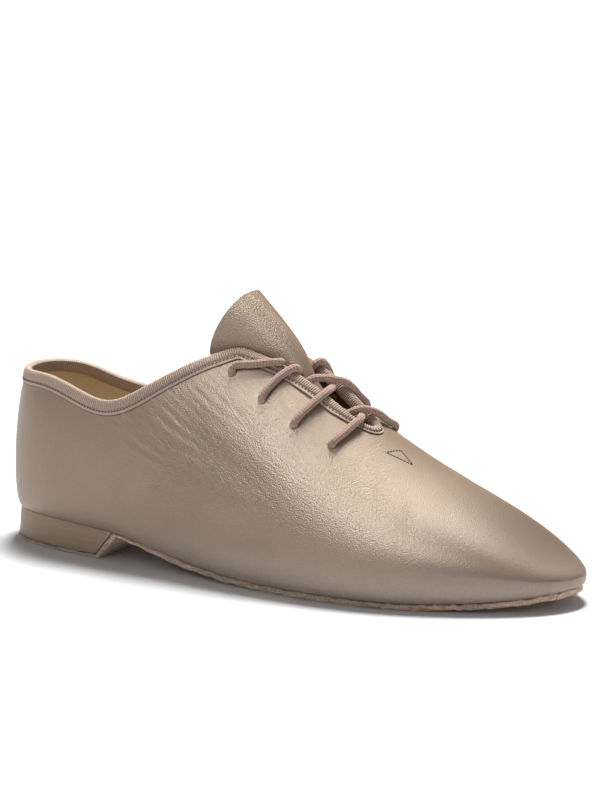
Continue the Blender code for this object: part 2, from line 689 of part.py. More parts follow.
def slide(turn, lap, shift):
    """Moves points of the outer face along it by vectors, and gives their new places."""
    target = skin(turn, lap) + shift
    for _ in range(4):
        along = (skin(turn + 1e-3, lap) - skin(turn - 1e-3, lap)) / 2e-3
        across = (skin(turn, lap + 0.2) - skin(turn, lap - 0.2)) / 0.4
        miss = target - skin(turn, lap)
        aa = np.sum(along * along, -1)
        bb = np.sum(across * across, -1)
        ab = np.sum(along * across, -1)
        ra = np.sum(along * miss, -1)
        rb = np.sum(across * miss, -1)
        spread_of = aa * bb - ab * ab
        turn = turn + (ra * bb - rb * ab) / spread_of
        lap = lap + (rb * aa - ra * ab) / spread_of
    return turn, lap


def make_binding():
    """Tape folded over the collar's and the throat's edge."""
    path = edge_path()
    turn = path[:, 0]
    lap = path[:, 1]
    edge = skin(turn, lap)
    normal = skin_normal(turn, lap)
    ahead = np.roll(edge, -1, 0) - edge
    behind = edge - np.roll(edge, 1, 0)
    ahead /= np.linalg.norm(ahead, axis=1, keepdims=True)
    behind /= np.linalg.norm(behind, axis=1, keepdims=True)
    into = np.cross(ahead + behind, normal)
    into /= np.linalg.norm(into, axis=1, keepdims=True)
    # Each point of the tape's section: distance in from the edge, height over the outer face
    low = -WALL
    face = SIZE_GAP + TAPE_THICKNESS
    bend = 0.35 * face
    section = (
        (TAPE_WIDTH, SIZE_GAP), (TAPE_WIDTH, 0.75 * face), (0.92 * TAPE_WIDTH, face),
        (0.45 * TAPE_WIDTH, face), (0.0, face), (-0.75 * face, bend),
        (-face, 0.5 * low), (-0.75 * face, low - bend), (0.0, low - face),
        (0.45 * TAPE_WIDTH, low - face), (0.8 * TAPE_WIDTH, low - face),
        (0.8 * TAPE_WIDTH, low - SIZE_GAP), (0.4 * TAPE_WIDTH, low - SIZE_GAP),
        (-SIZE_GAP, low - SIZE_GAP), (-SIZE_GAP, SIZE_GAP), (0.4 * TAPE_WIDTH, SIZE_GAP),
    )
    mesh_maker = bmesh.new()
    rings = []
    for distance, height in section:
        if distance > 0:
            there = slide(turn, lap, distance * into)
            points = skin(*there) + height * skin_normal(*there)
        else:
            points = edge + distance * into + height * normal
        rings.append(points)
    rings = add_grid(mesh_maker, np.stack(rings, 1))
    for first, second in zip(rings, rings[1:] + rings[:1]):
        bridge(mesh_maker, first, second, closed=True)
    return finish_mesh("collar_binding", mesh_maker, "binding")


def tongue_grid():
    """Upper face of the tongue, from its root to its free end, as a grid of rows by lanes."""
    table = {name: column(TONGUE, TONGUE_COLUMNS, name) for name in TONGUE_COLUMNS}
    crest = np.stack([LENGTH * np.array(table["at"]), INSTEP_HEIGHT * np.array(table["height"])], -1)
    knots = np.concatenate([[0], np.cumsum(np.linalg.norm(np.diff(crest, axis=0), axis=1))])
    knots /= knots[-1]
    lanes = np.linspace(-1, 1, TONGUE_LANES + 1)
    along = np.linspace(0, 1, TONGUE_ROWS + 1)[:, None]
    reach = 1 - TONGUE_CORNER * (1 - np.sqrt(1 - np.abs(lanes)**3)) - TONGUE_SKEW * (1 + lanes)
    place = along * reach[None, :]
    x = spline(knots, crest[:, 0], place)
    z = spline(knots, crest[:, 1], place)
    half = BALL_WIDTH * spline(knots, table["half"], place)
    depth = BALL_WIDTH * spline(knots, table["depth"], place)
    held = np.clip(eased(knots, table["held"], place), 0, 1)
    slope_x = spline(knots, crest[:, 0], place + 0.01) - spline(knots, crest[:, 0], place - 0.01)
    slope_z = spline(knots, crest[:, 1], place + 0.01) - spline(knots, crest[:, 1], place - 0.01)
    size = np.hypot(slope_x, slope_z)
    out_x = slope_z / size
    out_z = -slope_x / size
    angle = lanes[None, :] * math.pi / 2
    spine = BALL_WIDTH * form("spine", turn_of(x / LENGTH))
    power = 2 / np.maximum(spline(knots, table["fall"], place), 1.5)
    y = spine + half * np.sign(angle) * np.abs(np.sin(angle))**power
    sunk = depth * (1 - np.abs(np.cos(angle))**power)
    free = np.stack([x - sunk * out_x, y, z - sunk * out_z], -1)
    under = np.full_like(x, -WALL - TAPE_THICKNESS - 3 * SIZE_GAP)
    lying = over(x / LENGTH, y / BALL_WIDTH, under)
    return free * (1 - held[..., None]) + lying * held[..., None]


def make_tongue():
    """Soft leather tongue, rolled along its length and pulled up out of the throat."""
    top = tongue_grid()
    along = np.gradient(top, axis=0)
    across = np.gradient(top, axis=1)
    normal = np.cross(across, along)
    normal /= np.linalg.norm(normal, axis=-1, keepdims=True)
    normal *= np.sign(normal[:, TONGUE_LANES // 2, 2])[:, None, None]
    low = top - TONGUE_THICKNESS * normal
    mesh_maker = bmesh.new()
    top = add_grid(mesh_maker, top)
    low = add_grid(mesh_maker, low)
    for first, second in zip(top, top[1:]):
        bridge(mesh_maker, first, second)
    for first, second in zip(low, low[1:]):
        bridge(mesh_maker, first, second)
    for end in (0, -1):
        bridge(mesh_maker, top[end], low[end])
        bridge(mesh_maker, [row[end] for row in top], [row[end] for row in low])
    return finish_mesh("tongue", mesh_maker, "leather")


def make_run(name, path):
    """A length of lace through a table of places over the leather."""
    path = np.array(path)
    points = curve_through(over(path[:, 0], path[:, 1], path[:, 2] * LACE_DIAMETER), LACE_RINGS)
    tangent = np.gradient(points, axis=0)
    tangent /= np.linalg.norm(tangent, axis=1, keepdims=True)
    first = np.cross(tangent, (1, 0, 0))
    first /= np.linalg.norm(first, axis=1, keepdims=True)
    second = np.cross(tangent, first)
    angles = np.linspace(0, 2 * math.pi, LACE_SIDES + 1)[:-1]
    mesh_maker = bmesh.new()
    rings = points[:, None, :] + 0.5 * LACE_DIAMETER * (
        np.cos(angles)[None, :, None] * first[:, None, :]
        + np.sin(angles)[None, :, None] * second[:, None, :])
    rings = add_grid(mesh_maker, rings)
    for one, other in zip(rings, rings[1:]):
        bridge(mesh_maker, one, other, closed=True)
    mesh_maker.faces.new(rings[0])
    mesh_maker.faces.new(rings[-1][::-1])
    return finish_mesh(name, mesh_maker, "lace")


def make_crossing(name, first_path, second_path):
    """Two runs of the lace that cross in the throat, joined where they touch."""
    crossing = make_run(name, first_path)
    other = make_run(name + "_second", second_path)
    other.hide_render = True
    other.display_type = "WIRE"
    join = crossing.modifiers.new("second run", "BOOLEAN")
    join.operation = "UNION"
    join.object = other
    return crossing


def main():
    clear_scene()
    make_upper()
    make_outsole()
    make_heel()
    make_insole()
    make_binding()
    make_tongue()
    make_crossing("lace_cross_1", OVER_LATERAL_1, OVER_MEDIAL_1)
    make_crossing("lace_cross_2", OVER_LATERAL_2, OVER_MEDIAL_2)
    make_crossing("lace_cross_3", OVER_LATERAL_3, OVER_MEDIAL_3)
    make_run("lace_end_lateral", END_LATERAL)
    make_run("lace_end_medial", END_MEDIAL)


main()
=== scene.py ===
# %% [markdown]
# # A lace-up jazz shoe, dressed
# The solids of the shoe come from a file made earlier. Here they get the things that make leather
# look like leather: creases, a ribbed tape with its stitches, a braided lace, a brushed sole edge.
# Each step says what the piece is on a real shoe and why it is made in this way.

# %% Tools and the plain shoe
import math

import bmesh
import bpy
import numpy as np
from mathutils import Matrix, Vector


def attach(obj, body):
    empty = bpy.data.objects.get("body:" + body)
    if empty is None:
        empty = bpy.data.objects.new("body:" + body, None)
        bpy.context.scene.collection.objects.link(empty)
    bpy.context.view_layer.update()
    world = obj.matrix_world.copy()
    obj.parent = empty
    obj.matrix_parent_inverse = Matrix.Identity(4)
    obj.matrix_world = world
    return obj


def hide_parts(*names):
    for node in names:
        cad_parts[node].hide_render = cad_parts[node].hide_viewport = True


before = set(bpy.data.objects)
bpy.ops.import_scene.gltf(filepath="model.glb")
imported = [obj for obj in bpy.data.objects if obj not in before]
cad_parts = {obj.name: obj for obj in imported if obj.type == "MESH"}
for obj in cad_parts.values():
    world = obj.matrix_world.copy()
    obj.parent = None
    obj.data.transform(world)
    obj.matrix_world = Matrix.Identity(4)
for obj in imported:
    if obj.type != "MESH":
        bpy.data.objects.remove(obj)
print("pieces of the plain shoe:", ", ".join(sorted(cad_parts)))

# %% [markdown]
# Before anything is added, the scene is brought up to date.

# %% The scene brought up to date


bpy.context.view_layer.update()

# %% [markdown]
# ## The last
# A shoemaker stretches the leather over a last, a wooden foot. Every piece here is worked out from
# the same last, so the pieces fit each other however fine they are made. The tables hold one row
# for each section of the last, from the heel's back to the tip of the toe, as shares of the length,
# of the width across the ball, and of the height at the ankle.

# %% Tables of the last
LENGTH = 0.250
BALL_WIDTH = 0.082
INSTEP_HEIGHT = 0.094
HEEL_HEIGHT = 0.0130
TOE_SPRING = 0.0050
SIZE_GAP = 0.0003
SOLE_THICKNESS = 0.0023
HEEL_CENTRE = 0.115
HEEL_PIVOT = 0.125
PIVOT_BLEND = 0.030

LAST_COLUMNS = ("at", "spine", "lateral", "medial", "level", "crown", "fall")
LAST = (
    (0.000, 0.000, 0.000, 0.000, 0.300, 1.060, 2.10),
    (0.060, 0.000, 0.283, 0.280, 0.306, 1.060, 2.10),
    (0.140, 0.000, 0.360, 0.365, 0.318, 1.060, 2.10),
    (0.260, 0.000, 0.390, 0.370, 0.315, 1.060, 2.10),
    (0.380, 0.000, 0.430, 0.370, 0.300, 1.005, 2.00),
    (0.480, 0.000, 0.472, 0.400, 0.268, 0.925, 1.90),
    (0.540, 0.003, 0.490, 0.427, 0.249, 0.850, 1.87),
    (0.600, 0.007, 0.505, 0.458, 0.227, 0.735, 1.85),
    (0.680, 0.016, 0.508, 0.490, 0.198, 0.590, 1.90),
    (0.760, 0.032, 0.484, 0.484, 0.172, 0.470, 2.00),
    (0.840, 0.058, 0.423, 0.430, 0.150, 0.365, 2.10),
    (0.910, 0.085, 0.333, 0.325, 0.137, 0.268, 2.20),
    (0.965, 0.107, 0.225, 0.195, 0.124, 0.187, 2.20),
    (1.000, 0.118, 0.000, 0.000, 0.118, 0.118, 2.20),
)

SEAT_COLUMNS = ("at", "inset_lateral", "inset_medial", "heel_lift", "toe_lift")
SEAT = (
    (0.000, 0.022, 0.022, 1.000, 0.000),
    (0.060, 0.046, 0.046, 0.985, 0.000),
    (0.140, 0.058, 0.060, 0.950, 0.000),
    (0.200, 0.056, 0.070, 0.900, 0.000),
    (0.245, 0.054, 0.085, 0.830, 0.000),
    (0.310, 0.050, 0.105, 0.560, 0.000),
    (0.400, 0.042, 0.115, 0.250, 0.000),
    (0.480, 0.038, 0.090, 0.065, 0.000),
    (0.560, 0.036, 0.055, 0.000, 0.000),
    (0.640, 0.036, 0.040, 0.000, 0.000),
    (0.760, 0.036, 0.036, 0.000, 0.000),
    (0.840, 0.036, 0.034, 0.000, 0.120),
    (0.920, 0.030, 0.030, 0.000, 0.430),
    (1.000, 0.020, 0.020, 0.000, 1.000),
)
print(len(LAST), "sections of the last,", len(SEAT), "of its seat")

# %% [markdown]
# Between the rows the last is smooth. A spline bends as a thin wooden strip would, and an eased
# curve never swings past its own values, which keeps a level stretch level.

# %% Smooth curves


def spline(knots, values, at):
    """Natural cubic curve through (knots, values)."""
    knots = np.asarray(knots, float)
    values = np.asarray(values, float)
    at = np.asarray(at, float)
    step = np.diff(knots)
    count = len(knots)
    matrix = np.eye(count)
    right = np.zeros(count)
    for i in range(1, count - 1):
        matrix[i, i - 1:i + 2] = step[i - 1], 2 * (step[i - 1] + step[i]), step[i]
        slopes = (values[i + 1] - values[i]) / step[i], (values[i] - values[i - 1]) / step[i - 1]
        right[i] = 6 * (slopes[0] - slopes[1])
    bend = np.linalg.solve(matrix, right)
    i = np.clip(np.searchsorted(knots, at) - 1, 0, count - 2)
    after = at - knots[i]
    before = knots[i + 1] - at
    wide = step[i]
    curve = (bend[i] * before**3 + bend[i + 1] * after**3) / (6 * wide)
    curve += (values[i] / wide - bend[i] * wide / 6) * before
    return curve + (values[i + 1] / wide - bend[i + 1] * wide / 6) * after


def eased(knots, values, at):
    """Curve through (knots, values) that never overshoots."""
    knots = np.asarray(knots, float)
    values = np.asarray(values, float)
    at = np.clip(np.asarray(at, float), knots[0], knots[-1])
    slope = np.diff(values) / np.diff(knots)
    tangent = np.zeros(len(knots))
    same = slope[1:] * slope[:-1] > 0
    total = np.where(same, slope[1:] + slope[:-1], 1.0)
    tangent[1:-1] = np.where(same, 2 * slope[1:] * slope[:-1] / total, 0.0)
    tangent[0] = slope[0]
    tangent[-1] = slope[-1]
    i = np.clip(np.searchsorted(knots, at) - 1, 0, len(knots) - 2)
    wide = knots[i + 1] - knots[i]
    t = (at - knots[i]) / wide
    start = values[i] * (1 + 2 * t) * (1 - t)**2 + tangent[i] * wide * t * (1 - t)**2
    return start + values[i + 1] * t**2 * (3 - 2 * t) + tangent[i + 1] * wide * t**2 * (t - 1)


def walked_along(points):
    """Distance walked to each point of a line."""
    steps = np.linalg.norm(np.diff(points, axis=0), axis=1)
    return np.concatenate([[0], np.cumsum(steps)])


print("half way between 1 and 3:", float(eased((0, 1), (1, 3), 0.5)))

# %% [markdown]
# The tables are read by the names of their columns. Round the toe and heel the sections have to lie
# closer together, so positions are counted by a turn that runs evenly round the plan, and not by
# the length.

# %% Reading the tables


def column(table, names, name):
    """One named column of a table."""
    place = names.index(name)
    return [row[place] for row in table]


def turn_of(at):
    """Position round the plan, 0 at the heel's back and 1 at the toe's tip, from a length share."""
    return np.arccos(1 - 2 * np.clip(at, 0, 1)) / math.pi


def at_of(turn):
    """Length share from the position round the plan."""
    return (1 - np.cos(math.pi * turn)) / 2


LAST_KNOTS = turn_of(np.array(column(LAST, LAST_COLUMNS, "at")))
SEAT_KNOTS = column(SEAT, SEAT_COLUMNS, "at")


def last(name, turn):
    """A column of the last at a position round the plan."""
    return spline(LAST_KNOTS, column(LAST, LAST_COLUMNS, name), turn)


def seat(name, at):
    """A column of the seat at a length share."""
    return eased(SEAT_KNOTS, column(SEAT, SEAT_COLUMNS, name), at)


middle = float(turn_of(0.5))
print("crown half way along: %.1f mm" % (1000 * INSTEP_HEIGHT * float(last("crown", middle))))

# %% [markdown]
# The last stands on the sole. Its underside rises over the heel and lifts a little at the toe, and
# the leather's widest line lies outside the sole's edge, so the leather curls in under the foot.

# %% Widest line, sole's line and underside


def underside(x):
    """Height of the upper's underside at x from the heel's back."""
    at = np.asarray(x) / LENGTH
    heel = (HEEL_HEIGHT - SOLE_THICKNESS - SIZE_GAP) * seat("heel_lift", at)
    return SOLE_THICKNESS + SIZE_GAP + heel + TOE_SPRING * seat("toe_lift", at)


def by_side(side, lateral, medial):
    """Takes the medial value where side is above 0, and else the lateral one."""
    return np.where(side > 0, medial, lateral)


def reach_at(turn, side):
    """Share of the ball's width from the spine out to the widest outline."""
    return by_side(side, last("lateral", turn), last("medial", turn))


def level_and_crown(turn):
    """Heights of the widest line and of the top of the last."""
    return INSTEP_HEIGHT * last("level", turn), INSTEP_HEIGHT * last("crown", turn)


def widest(turn, side):
    """Plan outline where the shoe is widest, as (x, y)."""
    y = BALL_WIDTH * (last("spine", turn) + side * np.maximum(reach_at(turn, side), 0))
    return LENGTH * at_of(turn), y


def inward(turn, side):
    """Unit vector in plan, from the widest outline towards the inside."""
    step = 1e-4
    low = np.clip(turn - step, 0, 1)
    high = np.clip(turn + step, 0, 1)
    x0, y0 = widest(low, side)
    x1, y1 = widest(high, side)
    size = np.hypot(x1 - x0, y1 - y0)
    ends = (turn < step) | (turn > 1 - step)
    nx = np.where(ends, np.where(turn < 0.5, 1.0, -1.0), side * (y1 - y0) / size)
    ny = np.where(ends, 0.0, -side * (x1 - x0) / size)
    return nx, ny


def inset_at(turn, side):
    """Distance from the widest outline in to the edge of the sole."""
    at = at_of(turn)
    return BALL_WIDTH * by_side(side, seat("inset_lateral", at), seat("inset_medial", at))


def sole_line(turn, side, extra=0.0):
    """Plan point of the upper's bottom edge, or of a line that lies extra inside it."""
    x, y = widest(turn, side)
    nx, ny = inward(turn, side)
    inset = inset_at(turn, side) + extra
    return x + inset * nx, y + inset * ny


print("sole's edge at the ball: y = %.1f mm" % (1000 * float(sole_line(0.6, -1.0)[1])))

# %% [markdown]
# With those lines the whole outer face of the leather is one function of two numbers: how far round
# the plan from heel to toe, and how far over the foot from the lateral bottom edge, across the top,
# to the medial bottom edge. Its normal is found by looking a hair's breadth to each side.

# %% The leather's outer face
ALONG_STEP = 1e-3
OVER_STEP = 0.2
UNDER_POWER = 2 / 2.4


def skin(turn, lap):
    """Outer face of the upper. lap runs over the foot: -90 the lateral bottom edge, 0 the lateral
    widest point, 90 the crown, 180 the medial widest point and 270 the medial bottom edge."""
    turn, lap = np.broadcast_arrays(np.asarray(turn, float), np.asarray(lap, float))
    past = (turn < 0) | (turn > 1)
    lap = np.where(past, 180 - lap, lap)
    turn = np.where(turn < 0, -turn, np.where(turn > 1, 2 - turn, turn))
    side = np.where(lap > 90, 1.0, -1.0)
    rise = np.radians(np.where(lap > 90, 180 - lap, lap))
    at = at_of(turn)
    x, y = widest(turn, side)
    centre = 0.5 * (at + HEEL_PIVOT + np.sqrt((at - HEEL_PIVOT)**2 + PIVOT_BLEND**2))
    centre = np.minimum(centre, 1.0)
    to_x = LENGTH * centre - x
    to_y = BALL_WIDTH * last("spine", turn_of(centre)) - y
    level, crown = level_and_crown(turn)
    power = 2 / last("fall", turn)
    share = 1 - np.abs(np.cos(rise))**power
    up = np.stack([x + share * to_x, y + share * to_y,
                   level + (crown - level) * np.abs(np.sin(rise))**power], -1)
    nx, ny = inward(turn, side)
    inset = inset_at(turn, side)
    foot = underside(x + inset * nx)
    tucked = inset * (1 - np.abs(np.cos(rise))**UNDER_POWER)
    drop = np.abs(np.sin(rise))**UNDER_POWER
    down = np.stack([x + tucked * nx, y + tucked * ny, level - (level - foot) * drop], -1)
    return np.where((rise >= 0)[..., None], up, down)


def skin_normal(turn, lap):
    """Outward unit normal of the upper's outer face."""
    turn, lap = np.broadcast_arrays(np.asarray(turn, float), np.asarray(lap, float))
    along = skin(turn + ALONG_STEP, lap) - skin(turn - ALONG_STEP, lap)
    across = skin(turn, lap + OVER_STEP) - skin(turn, lap - OVER_STEP)
    normal = np.cross(along, across)
    size = np.linalg.norm(normal, axis=-1, keepdims=True)
    tip = ((turn > 1 - ALONG_STEP) & (np.abs(lap - 90) < 90.5))[..., None]
    normal = normal / np.maximum(size, 1e-12)
    normal = np.where(tip, np.array([1.0, 0.0, 0.0]), normal)
    under = ((lap <= -90) | (lap >= 270))[..., None]
    return np.where(under, np.array([0.0, 0.0, -1.0]), normal)


top = skin(middle, 90.0)
print("a point on the instep, in mm:", np.round(1000 * top, 1))

# %% [markdown]
# The leather stops at the collar, round the ankle, and at the throat, where the tongue shows. The
# two lines are given apart, as heights for the collar and as half widths for the throat, and run
# into each other with a rounded corner. Past its table's end the collar's line runs off upwards, so
# that the throat's line takes over.

# %% The leather's top edge
THROAT_TURN = 0.618
THROAT_END = 0.652
COLLAR_ROUNDING = 8.0
ROUNDING_GROWS_OVER = 0.05
RUN_OFF_ANGLE = 60
RUN_OFF_SLOPE = 900

COLLAR_COLUMNS = ("at", "lateral", "medial")
COLLAR = (
    (0.000, 0.724, 0.724),
    (0.050, 0.734, 0.700),
    (0.110, 0.737, 0.640),
    (0.160, 0.712, 0.610),
    (0.200, 0.684, 0.596),
    (0.232, 0.676, 0.598),
    (0.270, 0.706, 0.632),
    (0.310, 0.768, 0.702),
    (0.350, 0.832, 0.786),
    (0.390, 0.890, 0.868),
    (0.430, 0.940, 0.932),
    (0.470, 0.985, 0.985),
)

THROAT_COLUMNS = ("at", "half")
THROAT = (
    (0.360, 0.080),
    (0.420, 0.115),
    (0.480, 0.116),
    (0.540, 0.102),
    (0.600, 0.072),
    (0.652, 0.052),
)


def edge_lap(turn, side):
    """Angle of the leather's top edge above the widest point: the collar, then the throat."""
    at = at_of(turn)
    names = COLLAR_COLUMNS
    knots = column(COLLAR, names, "at")
    lateral = spline(knots, column(COLLAR, names, "lateral"), np.minimum(at, knots[-1]))
    medial = spline(knots, column(COLLAR, names, "medial"), np.minimum(at, knots[-1]))
    height = INSTEP_HEIGHT * by_side(side, lateral, medial)
    level, crown = level_and_crown(turn)
    power = last("fall", turn) / 2
    share = np.clip((height - level) / np.maximum(crown - level, 1e-5), 0, 1)
    collar = np.degrees(np.arcsin(share**power))
    run_off = RUN_OFF_ANGLE + RUN_OFF_SLOPE * (at - knots[-2])
    collar = np.where(at > knots[-2], np.maximum(collar, run_off), collar)
    knots = column(THROAT, THROAT_COLUMNS, "at")
    half = spline(knots, column(THROAT, THROAT_COLUMNS, "half"), np.maximum(at, knots[0]))
    close = np.clip((at - THROAT_TURN) / (THROAT_END - THROAT_TURN), 0, 1)
    half = half * np.sqrt(1 - close**2)
    share = np.clip(half / np.maximum(reach_at(turn, side), 1e-6), 0, 1)
    throat = np.degrees(np.arccos(share**power))
    throat = np.where(at < knots[0], 90.0, throat)
    rounding = COLLAR_ROUNDING * np.clip((at - knots[0]) / ROUNDING_GROWS_OVER, 0, 1)
    smooth = 0.5 * (collar + throat - np.sqrt((collar - throat)**2 + rounding**2))
    return np.where(at > 0.5, throat, np.where(at < knots[0], collar, smooth))


def lap_on(side, angle):
    """lap from an angle above the widest point on one side."""
    return by_side(side, angle, 180 - angle)


print("collar's angle at the heel: %.0f degrees" % float(edge_lap(np.array(0.0), -1.0)))

# %% [markdown]
# ## Putting a mesh together
# All the sewn pieces are grids of points: rows across, lanes along. This small class keeps the
# points, any numbers that belong to each point, and the four-cornered faces between them, and turns
# them into an object. Points that fall together are merged first and the normals worked out after
# that, so that they all face outwards.

# %% Grids of points
TINY = 1e-6
NO_AREA = 1e-13


class Grids:
    """Points and faces of one piece while it is put together."""

    def __init__(self, *names):
        self.points = []
        self.faces = []
        self.count = 0
        self.values = {name: [] for name in names}

    def add(self, points, **values):
        """Adds a grid of points with their values and gives the grid of their numbers."""
        shape = points.shape[:-1]
        self.points.append(points.reshape(-1, 3))
        for name, stored in self.values.items():
            value = values.get(name, 0.0)
            stored.append(np.broadcast_to(value, shape).reshape(-1))
        numbers = self.count + np.arange(int(np.prod(shape))).reshape(shape)
        self.count += numbers.size
        return numbers

    def join(self, first, second, closed=False):
        """Faces between two rows of point numbers."""
        if closed:
            first = np.append(first, first[0])
            second = np.append(second, second[0])
        self.faces.append(np.stack([first[:-1], first[1:], second[1:], second[:-1]], -1))

    def cover(self, numbers, closed=False):
        """Faces over a whole grid; closed joins the last lane to the first."""
        for first, second in zip(numbers, numbers[1:]):
            self.join(first, second, closed)

    def cap(self, ring):
        """Closes a ring of points with faces that meet in its middle."""
        points = np.concatenate(self.points)[ring]
        middle = self.add(points.mean(axis=0)[None, :])
        fan = np.full(len(ring), middle[0])
        self.faces.append(np.stack([ring, np.roll(ring, -1), fan, fan], -1))

    def mesh(self, name):
        """The finished mesh, moved so that the heel's centre is the origin."""
        made = bpy.data.meshes.new(name)
        points = np.concatenate(self.points) - [HEEL_CENTRE * LENGTH, 0, 0]
        faces = []
        for face in np.concatenate(self.faces).tolist():
            corners = list(dict.fromkeys(face))
            if len(corners) > 2:
                faces.append(corners)
        made.from_pydata(points.tolist(), [], faces)
        for label, stored in self.values.items():
            layer = made.attributes.new(label, "FLOAT", "POINT")
            layer.data.foreach_set("value", np.concatenate(stored).astype(np.float32))
        work = bmesh.new()
        work.from_mesh(made)
        bmesh.ops.remove_doubles(work, verts=work.verts, dist=TINY)
        flat = [face for face in work.faces if face.calc_area() < NO_AREA]
        bmesh.ops.delete(work, geom=flat, context="FACES_ONLY")
        bmesh.ops.recalc_face_normals(work, faces=work.faces)
        work.to_mesh(made)
        work.free()
        made.shade_smooth()
        return made


def show(mesh, materials, stands_for=()):
    """Puts a mesh in the scene as a piece of the shoe."""
    for finish in materials:
        mesh.materials.append(finish)
    piece = bpy.data.objects.new(mesh.name, mesh)
    bpy.context.scene.collection.objects.link(piece)
    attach(piece, "root")
    if stands_for:
        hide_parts(*stands_for)
    print(mesh.name, "has", len(mesh.polygons), "faces")


print("a grid of 3 by 4 points gets", Grids().add(np.zeros((3, 4, 3))).size, "numbers")

# %% [markdown]
# ## Writing materials and node trees
# Blender's materials are sums over textures. To write such a sum as a sum, a small class stands for
# one output socket and knows how to add, multiply and so on, each time by making a Math node.
# Another class makes the nodes: the kind first, then the settings, then the values or links.

# %% Sockets as numbers


class Number:
    """One socket of a node tree, used in sums as a number is."""

    def __init__(self, nodes, socket):
        self.nodes = nodes
        self.socket = socket

    def math(self, operation, *terms):
        return self.nodes.make("ShaderNodeMath", {"operation": operation}, dict(enumerate(terms)))

    def __add__(self, other):
        return self.math("ADD", self, other)

    def __radd__(self, other):
        return self.math("ADD", other, self)

    def __sub__(self, other):
        return self.math("SUBTRACT", self, other)

    def __rsub__(self, other):
        return self.math("SUBTRACT", other, self)

    def __mul__(self, other):
        return self.math("MULTIPLY", self, other)

    def __rmul__(self, other):
        return self.math("MULTIPLY", other, self)

    def __truediv__(self, other):
        return self.math("DIVIDE", self, other)

    def __pow__(self, other):
        return self.math("POWER", self, other)

    def sine(self):
        return self.math("SINE", self)

    def size(self):
        return self.math("ABSOLUTE", self)


class Nodes:
    """Makes the nodes of a tree."""

    def __init__(self, tree):
        self.tree = tree

    def make(self, kind, settings=None, values=None, output=0):
        """A node with its settings, then its input values, and the output that is wanted."""
        node = self.tree.nodes.new(kind)
        for name, value in (settings or {}).items():
            setattr(node, name, value)
        for name, value in (values or {}).items():
            self.put(node.inputs[name], value)
        return Number(self, node.outputs[output])

    def put(self, socket, value):
        """Links a socket to another one, or gives it a plain value."""
        if isinstance(value, Number):
            self.tree.links.new(value.socket, socket)
        else:
            socket.default_value = value


print("made the classes", Number.__name__, "and", Nodes.__name__)

# %% [markdown]
# A material starts from Blender's own surface shader. The helpers add the few textures that this
# shoe needs: soft clouds, small domes, and blends of two colours.

# %% Materials


class Finish(Nodes):
    """A material for one piece of the shoe."""

    def __init__(self, name, roughness, colour=(0.5, 0.5, 0.5), sheen=0.0):
        self.material = bpy.data.materials.new(name)
        self.material.use_nodes = True
        super().__init__(self.material.node_tree)
        self.shader = self.tree.nodes["Principled BSDF"]
        self.shader.inputs["Roughness"].default_value = roughness
        self.shader.inputs["Base Color"].default_value = (*colour, 1.0)
        self.shader.inputs["Sheen Weight"].default_value = sheen
        self.place = self.make("ShaderNodeTexCoord", output="Object")

    def surface(self, name, value):
        """Drives one of the surface's properties."""
        self.put(self.shader.inputs[name], value)

    def stored(self, name):
        """A number stored with the points of the mesh."""
        settings = {"attribute_name": name}
        return self.make("ShaderNodeAttribute", settings, output="Fac")

    def noise(self, scale, detail=2.0, place=None):
        """Soft cloudy pattern between 0 and 1, scale clouds to the metre."""
        values = {"Vector": place or self.place, "Scale": scale, "Detail": detail}
        return self.make("ShaderNodeTexNoise", {}, values)

    def pebbles(self, scale, place=None):
        """Small rounded domes side by side, scale domes to the metre."""
        values = {"Vector": place or self.place, "Scale": scale, "Smoothness": 0.22}
        away = self.make("ShaderNodeTexVoronoi", {"feature": "SMOOTH_F1"}, values)
        return 1 - away * away

    def between(self, value, low, high):
        """0 below low, 1 above high, and smooth from one to the other."""
        values = {"Value": value, "From Min": low, "From Max": high}
        return self.make("ShaderNodeMapRange", {"interpolation_type": "SMOOTHSTEP"}, values)

    def blend(self, share, first, second):
        """A colour between two others."""
        values = {0: share, 6: first, 7: second}
        return self.make("ShaderNodeMix", {"data_type": "RGBA"}, values, output=2)

    def axes(self, place=None):
        """The three coordinates of a place as numbers."""
        node = self.tree.nodes.new("ShaderNodeSeparateXYZ")
        self.put(node.inputs[0], place or self.place)
        return [Number(self, socket) for socket in node.outputs]

    def vector(self, x, y, z):
        """A place from three numbers."""
        return self.make("ShaderNodeCombineXYZ", {}, {0: x, 1: y, 2: z})

    def bump(self, height, depth):
        """Raises the surface by height times depth, in metres, for the light only."""
        values = {"Strength": 1.0, "Distance": depth, "Height": height}
        self.surface("Normal", self.make("ShaderNodeBump", {}, values))


def shade(red, green, blue):
    """A colour as read off a photograph, 0 to 255, in the light's own numbers."""
    return tuple(((c / 255 + 0.055) / 1.055)**2.4 if c > 10 else c / 3295
                 for c in (red, green, blue)) + (1.0,)


print("leather brown in the light's numbers:", [round(c, 3) for c in shade(160, 139, 122)])
